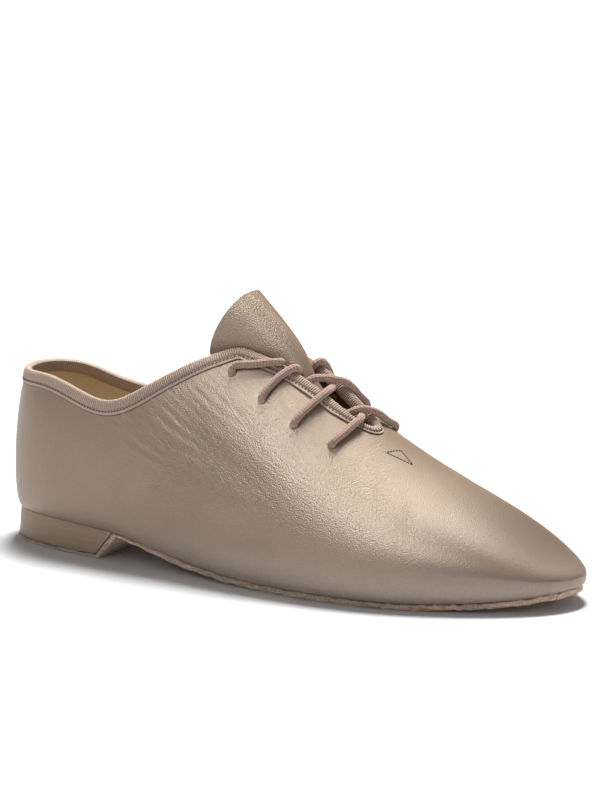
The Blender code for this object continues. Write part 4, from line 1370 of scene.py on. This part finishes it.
# %% [markdown]
# ## The stitched triangle on the vamp
# At the throat's end a small triangle of stitches keeps the leather from tearing. Its corners are
# given in shares of the length and of the ball's width.

# %% The stitched triangle
LIFT_OF_SEAM = 0.00012
TRIANGLE = ((0.690, -0.075), (0.727, -0.018), (0.698, 0.018))


def make_triangle():
    corners = list(TRIANGLE) + [TRIANGLE[0]]
    points = []
    outs = []
    for (at_1, across_1), (at_2, across_2) in zip(corners, corners[1:]):
        t = np.linspace(0, 1, 24)[:-1]
        at = at_1 + (at_2 - at_1) * t
        across = across_1 + (across_2 - across_1) * t
        low = over(at, across, np.full(len(t), LIFT_OF_SEAM))
        high = over(at, across, np.full(len(t), LIFT_OF_SEAM + 0.001))
        points.append(low)
        outs.append((high - low) / 0.001)
    return np.concatenate(points), np.concatenate(outs)


sew("vamp_triangle", *make_triangle(), True, "leather")

# %% [markdown]
# ## The lace
# One round braided lace is threaded through all eight holes. Each run comes out of a hole, crosses
# the throat over the leather and goes in under the other side, up to the next hole. The runs are
# the same as on the plain shoe; between them the lace passes under the leather and out through its
# hole. Lifts are in lace diameters over the leather's outer face.

# %% Places along the lace
LACE_DIAMETER = 0.0028
LACE_PLUMP = 1.10
OVER_LATERAL_1 = (
    (0.629, -0.232, 0.58), (0.632, -0.190, 0.64), (0.634, -0.135, 0.78), (0.635, -0.085, 0.98),
    (0.634, -0.045, 0.92), (0.630, -0.012, 0.40), (0.626, 0.018, -0.30), (0.622, 0.030, -1.30),
    (0.617, 0.052, -1.85), (0.608, 0.100, -1.95),
)
OVER_MEDIAL_1 = (
    (0.645, 0.210, 0.58), (0.643, 0.170, 0.62), (0.639, 0.120, 0.88), (0.634, 0.080, 1.12),
    (0.628, 0.045, 1.10), (0.621, 0.015, 0.70), (0.616, -0.012, -0.10), (0.611, -0.030, -1.20),
    (0.605, -0.055, -1.90), (0.596, -0.100, -2.00),
)
OVER_LATERAL_2 = (
    (0.569, -0.269, 0.58), (0.573, -0.215, 0.64), (0.577, -0.155, 0.78), (0.579, -0.108, 0.98),
    (0.579, -0.080, 0.92), (0.578, -0.045, 0.50), (0.576, -0.005, 0.15), (0.573, 0.030, -0.25),
    (0.569, 0.052, -1.30), (0.564, 0.085, -1.85), (0.552, 0.150, -1.92),
)
OVER_MEDIAL_2 = (
    (0.587, 0.237, 0.58), (0.586, 0.190, 0.62), (0.583, 0.140, 0.86), (0.579, 0.100, 1.12),
    (0.575, 0.075, 1.14), (0.570, 0.040, 0.90), (0.563, 0.000, 0.70), (0.557, -0.035, 0.50),
    (0.552, -0.060, 0.05), (0.549, -0.072, -0.80), (0.546, -0.078, -1.75),
    (0.538, -0.115, -1.95), (0.530, -0.150, -1.95),
)
OVER_LATERAL_3 = (
    (0.509, -0.263, 0.58), (0.513, -0.220, 0.64), (0.519, -0.165, 0.76), (0.525, -0.122, 0.98),
    (0.528, -0.099, 0.96), (0.530, -0.085, 0.60), (0.531, -0.077, -0.30), (0.531, -0.074, -1.30),
    (0.530, -0.066, -2.20), (0.527, -0.040, -2.75), (0.521, 0.030, -2.80), (0.512, 0.110, -2.20),
    (0.502, 0.160, -1.95),
)
OVER_MEDIAL_3 = (
    (0.525, 0.247, 0.58), (0.527, 0.210, 0.62), (0.529, 0.165, 0.80), (0.530, 0.122, 1.00),
    (0.530, 0.099, 0.98), (0.529, 0.085, 0.60), (0.528, 0.077, -0.30), (0.527, 0.074, -1.30),
    (0.525, 0.066, -2.20), (0.520, 0.040, -2.75), (0.513, -0.030, -2.80), (0.505, -0.110, -2.20),
    (0.495, -0.160, -1.95),
)
END_LATERAL = (
    (0.446, -0.225, 0.58), (0.455, -0.208, 0.66), (0.474, -0.183, 0.74), (0.490, -0.155, 0.88),
    (0.503, -0.128, 0.98), (0.513, -0.104, 0.98),
)
END_MEDIAL = (
    (0.459, 0.225, 0.58), (0.463, 0.205, 0.68), (0.468, 0.180, 0.78), (0.474, 0.155, 0.92),
    (0.480, 0.130, 1.00), (0.485, 0.108, 0.98),
)
UP_THROUGH_A_HOLE = ((0.45, -1.45), (0.82, -1.28), (0.965, -0.95), (1.0, -0.30), (1.0, 0.30))
LACE_SIDES = 20
LACE_STEP = 0.00045


def through(hole, before):
    """Places that bring the lace from under the leather out through a hole. before is the last
    place of the run that came before."""
    at, across = hole
    at_0, across_0, _ = before
    return tuple((at_0 + share * (at - at_0), across_0 + share * (across - across_0), lift)
                 for share, lift in UP_THROUGH_A_HOLE)


def strand(first_hole, runs, holes):
    """One half of the lace, from under the lowest hole to its end."""
    places = through(first_hole, (0.640, 0.0, -1.9))
    for run, hole in zip(runs, holes):
        places = places + run + through(hole, run[-1])
    return places


lateral_4, lateral_3, lateral_2, lateral_1 = HOLES_LATERAL
medial_4, medial_3, medial_2, medial_1 = HOLES_MEDIAL
first_half = strand(lateral_4, (OVER_LATERAL_1, OVER_MEDIAL_2, OVER_LATERAL_3),
                    (medial_3, lateral_2, medial_1)) + END_MEDIAL
second_half = strand(medial_4, (OVER_MEDIAL_1, OVER_LATERAL_2, OVER_MEDIAL_3),
                     (lateral_3, medial_2, lateral_1)) + END_LATERAL
BAR_UNDER_TONGUE = ((0.640, -0.090, -2.5), (0.641, 0.0, -2.75), (0.642, 0.090, -2.5))
lace_places = np.array(first_half[::-1] + BAR_UNDER_TONGUE + second_half)
print(len(lace_places), "places along the lace")

# %% [markdown]
# A smooth curve goes through the places in even steps, and a round section is carried along it. The
# section turns with the curve as little as it can, so that the braid doesn't twist.

# %% The lace's line and tube


def curve_through(points, spacing):
    """Even steps along a smooth curve through a few points."""
    knots = walked_along(points)
    fine = np.linspace(0, knots[-1], int(8 * knots[-1] / spacing))
    curve = np.stack([spline(knots, points[:, i], fine) for i in range(3)], -1)
    walked = walked_along(curve)
    even = np.linspace(0, walked[-1], int(walked[-1] / spacing))
    return np.stack([np.interp(even, walked, curve[:, i]) for i in range(3)], -1), even


def carried_frames(points):
    """Tangents along a curve and two vectors square to them that turn as little as they can."""
    tangent = np.gradient(points, axis=0)
    tangent /= np.linalg.norm(tangent, axis=1, keepdims=True)
    first = np.zeros_like(points)
    start = np.cross(tangent[0], (0, 0, 1))
    first[0] = start / np.linalg.norm(start)
    for i in range(1, len(points)):
        moved = first[i - 1] - tangent[i] * np.dot(first[i - 1], tangent[i])
        first[i] = moved / np.linalg.norm(moved)
    return tangent, first, np.cross(tangent, first)


lace_line, lace_walked = curve_through(
    over(lace_places[:, 0], lace_places[:, 1], lace_places[:, 2] * LACE_DIAMETER), LACE_STEP)
print("the lace is %.0f mm long" % (1000 * lace_walked[-1]))


def make_lace(points, walked):
    _, first, second = carried_frames(points)
    angles = np.linspace(0, 2 * math.pi, LACE_SIDES + 1)[:-1]
    # The two cut ends are pinched, so that the tube closes in a rounded tip.
    from_end = np.minimum(walked, walked[-1] - walked)
    pinch = np.sqrt(np.clip(from_end / (0.5 * LACE_DIAMETER), 0.02, 1))
    radius = 0.5 * LACE_PLUMP * LACE_DIAMETER * pinch[:, None, None]
    rings = points[:, None, :] + radius * (
        np.cos(angles)[None, :, None] * first[:, None, :]
        + np.sin(angles)[None, :, None] * second[:, None, :])
    grids = Grids("run", "round_x", "round_y")
    numbers = grids.add(rings, run=walked[:, None], round_x=np.cos(angles)[None, :],
                        round_y=np.sin(angles)[None, :])
    grids.cover(numbers, closed=True)
    grids.cap(numbers[0])
    grids.cap(numbers[-1])
    return grids.mesh("lace")


# %% [markdown]
# The braid is a crossing of two sets of slanting strands. Their waves run along the lace and round
# it; where the two sets meet the cord stands highest. Where it is lowest, between the strands, shade
# is painted into the colour.

# %% The braid
BRAID_ALONG = 2700
BRAID_ROUND = 5


def lace_finish():
    finish = Finish("braided_lace", 0.80, sheen=0.3)
    run = finish.stored("run")
    round_y = finish.stored("round_y")
    turned = round_y.math("ARCTAN2", round_y, finish.stored("round_x"))
    first = (run * BRAID_ALONG + turned * BRAID_ROUND).sine()
    second = (run * BRAID_ALONG - turned * BRAID_ROUND).sine()
    braid = (first * second) * 0.5 + 0.5
    hairs = finish.noise(3000, 2.0)
    colour = finish.blend(finish.noise(90, 2.0), shade(188, 154, 136), shade(164, 131, 115))
    # Painted shade in the gaps between the strands.
    colour = finish.blend((1 - braid) * 0.6, colour, shade(96, 72, 60))
    finish.surface("Base Color", colour)
    finish.bump(braid + hairs * 0.5, 0.00025)
    return finish.material


show(make_lace(lace_line, lace_walked), (lace_finish(),),
     ("lace_cross_1", "lace_cross_2", "lace_cross_3", "lace_end_lateral", "lace_end_medial"))

# %% [markdown]
# ## The tongue
# The tongue is a strip of unlined leather sewn in under the vamp. It is pulled up through the
# throat and rolls over like a gutter turned upside down. The table gives its crest from the root to
# the free end; shift moves it sideways, and held is 1 where it lies under the leather and 0 where
# it stands free.

# %% The tongue's form
TONGUE_THICKNESS = 0.0013
TONGUE_CORNER = 0.10
TONGUE_SKEW = 0.010
TONGUE_ROWS = 200
TONGUE_LANES = 96
TONGUE_COLUMNS = ("at", "height", "half", "depth", "shift", "held", "fall")
TONGUE = (
    (0.712, 0.505, 0.200, 0.060, 0.000, 1.0, 2.0),
    (0.680, 0.545, 0.150, 0.060, 0.000, 1.0, 2.0),
    (0.642, 0.600, 0.085, 0.045, -0.010, 0.5, 2.0),
    (0.622, 0.650, 0.062, 0.040, -0.015, 0.0, 2.0),
    (0.604, 0.690, 0.056, 0.045, -0.018, 0.0, 2.0),
    (0.576, 0.742, 0.055, 0.055, -0.016, 0.0, 2.0),
    (0.552, 0.800, 0.058, 0.070, -0.010, 0.0, 2.0),
    (0.528, 0.905, 0.074, 0.095, 0.000, 0.0, 2.0),
    (0.504, 0.986, 0.102, 0.170, 0.000, 0.0, 2.2),
    (0.470, 1.070, 0.130, 0.300, 0.000, 0.0, 2.6),
    (0.430, 1.158, 0.166, 0.415, 0.000, 0.0, 2.8),
)


def tongue_grid():
    """Upper face of the tongue, from its root to its free end, as a grid of rows by lanes."""
    table = {name: column(TONGUE, TONGUE_COLUMNS, name) for name in TONGUE_COLUMNS}
    crest = np.stack([LENGTH * np.array(table["at"]),
                      INSTEP_HEIGHT * np.array(table["height"])], -1)
    knots = walked_along(crest)
    knots /= knots[-1]
    lanes = np.linspace(-1, 1, TONGUE_LANES + 1)
    along = np.linspace(0, 1, TONGUE_ROWS + 1)[:, None]
    corner = TONGUE_CORNER * (1 - np.sqrt(1 - np.abs(lanes)**3))
    place = along * (1 - corner - TONGUE_SKEW * (1 + lanes))[None, :]
    x = spline(knots, crest[:, 0], place)
    z = spline(knots, crest[:, 1], place)
    half = BALL_WIDTH * spline(knots, table["half"], place)
    depth = BALL_WIDTH * spline(knots, table["depth"], place)
    shift = BALL_WIDTH * spline(knots, table["shift"], place)
    held = np.clip(eased(knots, table["held"], place), 0, 1)
    step = 0.01
    slope_x = spline(knots, crest[:, 0], place + step) - spline(knots, crest[:, 0], place - step)
    slope_z = spline(knots, crest[:, 1], place + step) - spline(knots, crest[:, 1], place - step)
    size = np.hypot(slope_x, slope_z)
    angle = lanes[None, :] * math.pi / 2
    spine = BALL_WIDTH * last("spine", turn_of(x / LENGTH)) + shift
    power = 2 / np.maximum(spline(knots, table["fall"], place), 1.5)
    y = spine + half * np.sign(angle) * np.abs(np.sin(angle))**power
    sunk = depth * (1 - np.abs(np.cos(angle))**power)
    free = np.stack([x - sunk * slope_z / size, y, z + sunk * slope_x / size], -1)
    under = np.full_like(x, -WALL - TAPE_THICKNESS - 3 * SIZE_GAP)
    lying = over(x / LENGTH, y / BALL_WIDTH, under)
    return free * (1 - held[..., None]) + lying * held[..., None]


print("the tongue has %d rows of %d lanes" % (TONGUE_ROWS, TONGUE_LANES))

# %% [markdown]
# Where the lace presses on it the soft tongue gives way. Every point that would lie inside the lace
# moves straight out from the lace's middle line, and the dents are then spread a little.

# %% The lace's dents in the tongue
PRESS_ROOM = 0.0004
PRESS_ROUNDS = 3


def smoothed(moves, times):
    """Spreads a grid of moves over their neighbours."""
    for _ in range(times):
        padded = np.pad(moves, ((1, 1), (1, 1), (0, 0)), mode="edge")
        around = padded[:-2, 1:-1] + padded[2:, 1:-1] + padded[1:-1, :-2] + padded[1:-1, 2:]
        moves = 0.5 * moves + 0.125 * around
    return moves


def pressed_by_lace(points, thickness):
    """The tongue's middle layer with the lace's dents in it."""
    keep = 0.5 * LACE_PLUMP * LACE_DIAMETER + 0.5 * thickness + PRESS_ROOM
    line = lace_line[::3]
    for _ in range(PRESS_ROUNDS):
        gap = points[:, :, None, :] - line[None, None, :, :]
        away = np.linalg.norm(gap, axis=-1)
        nearest = away.argmin(axis=-1)
        away = away.min(axis=-1)
        way = points - line[nearest]
        push = np.clip(keep - away, 0, None) / np.maximum(away, 1e-5)
        points = points + smoothed(push[..., None] * way, 2)
    return points


def grid_normal(points):
    """Unit normals of a grid of points, upwards in its middle lane."""
    normal = np.cross(np.gradient(points, axis=1), np.gradient(points, axis=0))
    normal /= np.linalg.norm(normal, axis=-1, keepdims=True)
    return normal * np.sign(normal[:, normal.shape[1] // 2, 2])[:, None, None]


def make_tongue():
    face = tongue_grid()
    middle_layer = face - 0.5 * TONGUE_THICKNESS * grid_normal(face)
    middle_layer = pressed_by_lace(middle_layer, TONGUE_THICKNESS)
    normal = grid_normal(middle_layer)
    top = middle_layer + 0.5 * TONGUE_THICKNESS * normal
    low = middle_layer - 0.5 * TONGUE_THICKNESS * normal
    grids = Grids("loose", "fan", "crease")
    upper_face = grids.add(top, loose=1.0)
    lower_face = grids.add(low, loose=0.3)
    grids.cover(upper_face)
    grids.cover(lower_face)
    for end in (0, -1):
        grids.join(upper_face[end], lower_face[end])
        grids.join(upper_face[:, end], lower_face[:, end])
    return grids.mesh("tongue")


tongue_mesh = make_tongue()
tongue_mesh.set_sharp_from_angle(angle=math.radians(50))
tongue_leather = leather_finish("tongue_leather", shade(130, 107, 89), shade(112, 90, 73),
                                FLOOR_REFLECTION)
show(tongue_mesh, (tongue_leather,), ("tongue",))

# %% [markdown]
# ## The sole
# Sole and heel are cut along one outline, which stands a hair outside the leather's bottom edge.
# These helpers give that outline, moved in or out, and places along it that lie closer together
# where it is round.

# %% The sole's outline
SOLE_PROUD = -0.0002
OUTLINE_SAMPLES = 2000


def outline(side, extra):
    """The sole's outline on one side, moved in by extra, as arrays of x and y."""
    return sole_line(np.linspace(0, 1, OUTLINE_SAMPLES), side, extra)


def ends_of(extra):
    """First and last x of the sole's outline moved in by extra."""
    x, _ = outline(1.0, extra)
    return float(x[0]), float(x[-1])


def spread(start, end, count, bunch_start, bunch_end):
    """count places from start to end, closer together at a round end."""
    t = np.linspace(0, 1, count)
    if bunch_start and bunch_end:
        t = (1 - np.cos(math.pi * t)) / 2
    elif bunch_start:
        t = 1 - np.cos(0.5 * math.pi * t)
    elif bunch_end:
        t = np.sin(0.5 * math.pi * t)
    return start + (end - start) * t


print("the sole reaches from %.1f to %.1f mm" % tuple(1000 * x for x in ends_of(SOLE_PROUD)))

# %% [markdown]
# A knife leaves a cut edge that is neither straight nor square. Both plates get a rounded edge of a
# few levels, and waves of three sizes push it in and out: tufts, scallops and level ripples.

# %% A plate with a rough edge
EDGE_LEVELS = (0.0, 0.12, 0.32, 0.5, 0.68, 0.88, 1.0)
TUFT = 0.0014
SCALLOP = 0.0060
RIPPLE = 0.0034


def rough(points, size, seed):
    """Even, repeatable unevenness from a few waves, between -1 and 1."""
    mixer = np.random.default_rng(seed)
    total = np.zeros(points.shape[:-1])
    for _ in range(10):
        way = mixer.normal(size=3)
        way = way / np.linalg.norm(way)
        wave = 2 * math.pi / (size * mixer.uniform(0.6, 1.8))
        total += np.sin(points @ way * wave + mixer.uniform(0, 6.3))
    return np.clip(total / 4, -1, 1)


def edge_rows(tops, lows, round_by, unevenness, seed):
    """Points of one side's edge between two rows of places (x, z, inside), rounded and rough."""
    rows = []
    for side in (-1.0, 1.0):
        high = np.array(tops)
        low = np.array(lows)
        lanes = []
        for level in EDGE_LEVELS:
            x, z, extra = (high + (low - high) * level).T
            inside = round_by * (abs(2 * level - 1)**3)
            y = np.array([np.interp(px, *outline(side, pe)) for px, pe in zip(x, extra)])
            y -= np.minimum(inside, 0.5 * np.abs(y)) * np.sign(y)
            lanes.append(np.stack([x, y, z], -1))
        lanes = np.stack(lanes, 1)
        bulge = unevenness * (rough(lanes, TUFT, seed) + rough(lanes, SCALLOP, seed + 1))
        wave = 0.8 * unevenness * rough(lanes * [1, 1, 0.3], RIPPLE, seed + 2)
        free = 1 - np.abs(2 * np.array(EDGE_LEVELS) - 1)**2
        off_middle = np.abs(lanes[..., 1]) > 1e-4
        lanes[..., 1] += side * bulge * (0.3 + 0.7 * free)[None, :] * off_middle
        lanes[..., 2] = np.maximum(lanes[..., 2] + wave, 0)
        rows.append(lanes)
    return rows


def make_plate(name, tops, lows, round_by, unevenness, seed):
    """A plate with a rounded rough edge, between rows of places from the heel to the toe."""
    grids = Grids("rim")
    left, right = edge_rows(tops, lows, round_by, unevenness, seed)
    rim = 1 - np.abs(2 * np.array(EDGE_LEVELS) - 1)**3
    left = grids.add(left, rim=rim[None, :])
    right = grids.add(right, rim=rim[None, :])
    grids.cover(left)
    grids.cover(right)
    grids.join(left[:, 0], right[:, 0])
    grids.join(left[:, -1], right[:, -1])
    for end in (0, -1):
        grids.join(left[end], right[end])
    return grids.mesh(name)


print("levels down a plate's edge:", len(EDGE_LEVELS))

# %% [markdown]
# The sole is one piece of suede: it starts at the toe, is skived thin under the arch, turns down
# the heel's front and back under the heel. It is made from a row of places from the heel to the
# toe, each with its top, its underside and how far it stands in from the sole's line.

# %% The sole
SUEDE_THICKNESS = 0.0013
HEEL_FLARE = 0.0008
BREAST_FOOT = 0.214
BREAST_SLOPE = 0.0078
SKIVE_LENGTH = 0.030


def sole_places():
    """The sole's upper and lower lines as (x, z, distance inside the sole's line)."""
    flared = SOLE_PROUD - HEEL_FLARE
    foot = BREAST_FOOT * LENGTH
    high = foot + BREAST_SLOPE
    shank = float(underside(high)) - SIZE_GAP
    tops = []
    lows = []
    behind = foot - SUEDE_THICKNESS
    for x in spread(ends_of(flared)[0], behind, 160, True, False):
        tops.append((x, SUEDE_THICKNESS, flared))
        lows.append((x, 0.0, flared))
    lows[-1] = (foot, 0.0, flared)
    for share in np.linspace(0, 1, 16)[1:]:
        inside = flared + share * HEEL_FLARE
        tops.append((behind + share * (high - SUEDE_THICKNESS - behind),
                     SUEDE_THICKNESS + share * (shank - SUEDE_THICKNESS), inside))
        lows.append((foot + share * (high + SUEDE_THICKNESS / 2 - foot),
                     share * (shank - SUEDE_THICKNESS), inside))
    for x in spread(high + 2 * SUEDE_THICKNESS, ends_of(SOLE_PROUD)[1], 420, False, True):
        top = float(underside(x)) - SIZE_GAP
        full = float(eased((high, high + SKIVE_LENGTH), (SUEDE_THICKNESS, SOLE_THICKNESS), x))
        tops.append((x, top, SOLE_PROUD))
        lows.append((x, top - full, SOLE_PROUD))
    return tops, lows


sole_mesh = make_plate("sole", *sole_places(), round_by=0.00040, unevenness=0.00038, seed=3)
sole_mesh.set_sharp_from_angle(angle=math.radians(60))
print("sole:", len(sole_mesh.vertices), "points")

# %% [markdown]
# Suede is leather brushed until its fibres stand up, so it has no gloss. Its cut edge is paler
# where the fibres are fresh and browner where glue and dye have run in. Long clouds along the edge
# give those streaks, and pale and dark specks give the single fibres.

# %% The suede's look


def suede_finish():
    finish = Finish("brushed_suede", 0.95, sheen=0.35)
    x, y, z = finish.axes()
    rim = finish.stored("rim")
    fibres = finish.noise(2300, 2.0)
    streak = finish.noise(1.0, 3.0, finish.vector(x * 160, y * 160, z * 1500))
    cloud = finish.noise(90, 3.0)
    colour = finish.blend(finish.between(streak, 0.35, 0.7), shade(246, 216, 190),
                          shade(194, 162, 138))
    flat = finish.blend(cloud, shade(214, 188, 168), shade(190, 164, 146))
    colour = finish.blend(rim, flat, colour)
    colour = finish.blend(finish.between(fibres, 0.50, 0.60) * 0.7, colour, shade(214, 188, 164))
    colour = finish.blend(finish.between(fibres, 0.45, 0.36) * 0.7, colour, shade(96, 74, 62))
    finish.surface("Base Color", colour)
    finish.bump(fibres + streak * 0.6, 0.00040)
    return finish.material


suede = suede_finish()
show(sole_mesh, (suede,), ("outsole",))

# %% [markdown]
# Loose fibres stand out of the cut edge. The tree scatters points over the edge, more where the
# mesh says it is rim, and puts a thin three-sided spike on each, tilted at random but always the
# same way for the same seed.

# %% Fibres on the cut edge
FIBRES_TO_THE_SQUARE_METRE = 4.2e6
FIBRE_LENGTH = 0.00105
FIBRE_RADIUS = 0.00009


def nap_tree():
    tree = Tree("nap_of_the_edge", Density=FIBRES_TO_THE_SQUARE_METRE, Length=FIBRE_LENGTH,
                Radius=FIBRE_RADIUS)
    density = tree.stored("rim") * tree.given("Density")
    node = tree.tree.nodes.new("GeometryNodeDistributePointsOnFaces")
    tree.put(node.inputs["Mesh"], tree.geometry)
    tree.put(node.inputs["Density"], density)
    node.inputs["Seed"].default_value = 7
    points = Number(tree, node.outputs["Points"])
    out = Number(tree, node.outputs["Normal"])
    tilt = tree.make("FunctionNodeRandomValue", {"data_type": "FLOAT_VECTOR"},
                     {0: (-1.0, -1.0, -1.0), 1: (1.0, 1.0, 0.6), "Seed": 11})
    way = tree.make("ShaderNodeVectorMath", {"operation": "ADD"}, {0: out, 1: tilt})
    turned = tree.make("FunctionNodeAlignRotationToVector", {"axis": "Z"}, {"Vector": way})
    spike = tree.make("GeometryNodeMeshCone", {},
                      {"Vertices": 3, "Radius Bottom": tree.given("Radius"),
                       "Radius Top": 0.0, "Depth": tree.given("Length")})
    size = tree.make("FunctionNodeRandomValue", {"data_type": "FLOAT"},
                     {2: 0.4, 3: 1.0, "Seed": 5}, output=1)
    values = {0: points, "Instance": spike, "Rotation": turned, "Scale": size}
    laid = tree.make("GeometryNodeInstanceOnPoints", {}, values)
    tree.ends_in(laid, suede)
    return tree


nap_mesh = settle(sole_mesh.copy(), nap_tree().on)
nap_mesh.name = "sole_nap"
show(nap_mesh, (suede,))

# %% [markdown]
# ## The heel
# The heel is a low block of board covered with thin painted leather, a little darker and greener
# than the upper. Its side shows faint level streaks from the brush.

# %% The heel


def heel_places():
    flared = SOLE_PROUD - HEEL_FLARE
    low = SUEDE_THICKNESS + SIZE_GAP
    front = BREAST_FOOT * LENGTH - low
    high = front + BREAST_SLOPE
    tops = [(x, float(underside(x)) - SIZE_GAP, SOLE_PROUD)
            for x in spread(ends_of(SOLE_PROUD)[0], high, 160, True, False)]
    lows = [(x, low, flared) for x in spread(ends_of(flared)[0], front, 160, True, False)]
    return tops, lows


def heel_finish():
    finish = Finish("painted_heel", 0.50)
    x, y, z = finish.axes()
    streak = finish.noise(1.0, 3.0, finish.vector(x * 60, y * 60, z * 900))
    cloud = finish.noise(70, 2.0)
    colour = finish.blend(streak, shade(176, 150, 122), shade(144, 119, 94))
    colour = finish.blend(cloud * 0.4, colour, shade(156, 134, 116))
    finish.surface("Base Color", colour)
    finish.surface("Roughness", 0.46 + 0.12 * cloud)
    finish.bump(streak, 0.00012)
    return finish.material


heel_mesh = make_plate("heel", *heel_places(), round_by=0.00012, unevenness=0.00004, seed=5)
heel_mesh.set_sharp_from_angle(angle=math.radians(50))
show(heel_mesh, (heel_finish(),), ("heel_block",))

# %% [markdown]
# ## The insole
# The board inside the shoe is seen only from above. The plain solid serves, with a cloth finish.

# %% The insole


def insole_finish():
    finish = Finish("insole_cloth", 0.85)
    x, y, _ = finish.axes()
    weave = (x * 5200).sine() * (y * 5200).sine() * 0.5 + 0.5
    cloud = finish.noise(40, 3.0)
    finish.surface("Base Color", finish.blend(cloud, shade(134, 110, 78), shade(104, 84, 58)))
    finish.bump(weave, 0.00012)
    return finish.material


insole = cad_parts["insole"]
insole.material_slots[0].link = "OBJECT"
insole.material_slots[0].material = insole_finish()
print("insole keeps its", len(insole.data.polygons), "faces")

# %% [markdown]
# ## Floor, light and camera
# The photograph was taken from the lateral front, a little above the shoe, with a long lens, on a
# white table under soft light. The camera's place comes from fitting the shoe's length, width and
# height to the photograph.

# %% The camera
VIEW_ROUND = math.radians(32.582)
VIEW_UP = math.radians(12.531)
VIEW_DISTANCE = 2.1636
VIEW_TARGET = (0.100914, 0.0, 0.067465)
LENS = 252.3


def aim(thing, place, target):
    """Puts a lamp or camera at a place, turned towards a target."""
    thing.location = place
    way = Vector(place) - Vector(target)
    thing.rotation_euler = way.to_track_quat("Z", "Y").to_euler()


def make_camera():
    camera = bpy.data.objects.new("camera", bpy.data.cameras.new("camera"))
    camera.data.lens = LENS
    camera.data.sensor_width = 36.0
    camera.data.sensor_fit = "AUTO"
    back = (math.sin(VIEW_ROUND) * math.cos(VIEW_UP), -math.cos(VIEW_ROUND) * math.cos(VIEW_UP),
            math.sin(VIEW_UP))
    place = [t + VIEW_DISTANCE * b for t, b in zip(VIEW_TARGET, back)]
    aim(camera, place, VIEW_TARGET)
    bpy.context.scene.collection.objects.link(camera)
    bpy.context.scene.camera = camera
    return camera


camera = make_camera()
print("camera at", [round(c, 3) for c in camera.location])

# %% [markdown]
# The floor is plain and pale, and away from the shoe it glows a little, so that it fades to white. A
# soft lamp hangs above and behind the shoe, so the arch throws a dark soft shadow towards us. Two
# white boards, one over the vamp and one in front, are seen only in the leather's gloss, where they
# draw the pale band across the vamp and down its side. If they lit the rest of the shoe as well, it
# would look flat.

# %% Floor and lamps
FLOOR_REACH = 3.0
GLOW_STARTS = 0.20
GLOW_FULL = 0.55
LAMPS_AIM_AT = (0.06, 0.0, 0.04)
ROOM_LIGHT = 0.20


def make_floor():
    mesh = bpy.data.meshes.new("floor")
    far = FLOOR_REACH
    mesh.from_pydata([(-far, -far, 0), (far, -far, 0), (far, far, 0), (-far, far, 0)], [],
                     [(0, 1, 2, 3)])
    finish = Finish("pale_table", 0.7, (0.70, 0.71, 0.72))
    x, y, _ = finish.axes()
    far_off = finish.between((x * x + y * y)**0.5, GLOW_STARTS, GLOW_FULL)
    glow = finish.blend(far_off, (0.0, 0.0, 0.0, 1.0), (1.0, 1.0, 1.0, 1.0))
    finish.surface("Emission Color", glow)
    finish.shader.inputs["Emission Strength"].default_value = 0.9
    mesh.materials.append(finish.material)
    floor = bpy.data.objects.new("floor", mesh)
    bpy.context.scene.collection.objects.link(floor)


def make_lamp(name, place, width, depth, power):
    lamp = bpy.data.objects.new(name, bpy.data.lights.new(name, "AREA"))
    lamp.data.shape = "RECTANGLE"
    lamp.data.size = width
    lamp.data.size_y = depth
    lamp.data.energy = power
    aim(lamp, place, LAMPS_AIM_AT)
    bpy.context.scene.collection.objects.link(lamp)
    return lamp


make_floor()
soft_box = make_lamp("soft_box_behind", (-0.03, 0.34, 1.12), width=0.36, depth=0.36, power=28.0)
soft_box.visible_glossy = False
board_over = make_lamp("white_board_over_the_vamp", (0.00, 0.38, 1.10),
                       width=0.34, depth=0.60, power=16.0)
board_over.visible_diffuse = False
board_front = make_lamp("white_board_in_front", (0.06, -0.78, 0.86),
                        width=0.50, depth=0.50, power=20.0)
board_front.visible_diffuse = False
world = bpy.data.worlds.new("white_room")
world.use_nodes = True
background = world.node_tree.nodes["Background"]
background.inputs["Color"].default_value = (0.97, 0.98, 1.0, 1.0)
background.inputs["Strength"].default_value = ROOM_LIGHT
bpy.context.scene.world = world
bpy.context.scene.view_settings.view_transform = "Standard"
print("a soft box, two white boards and a white room")
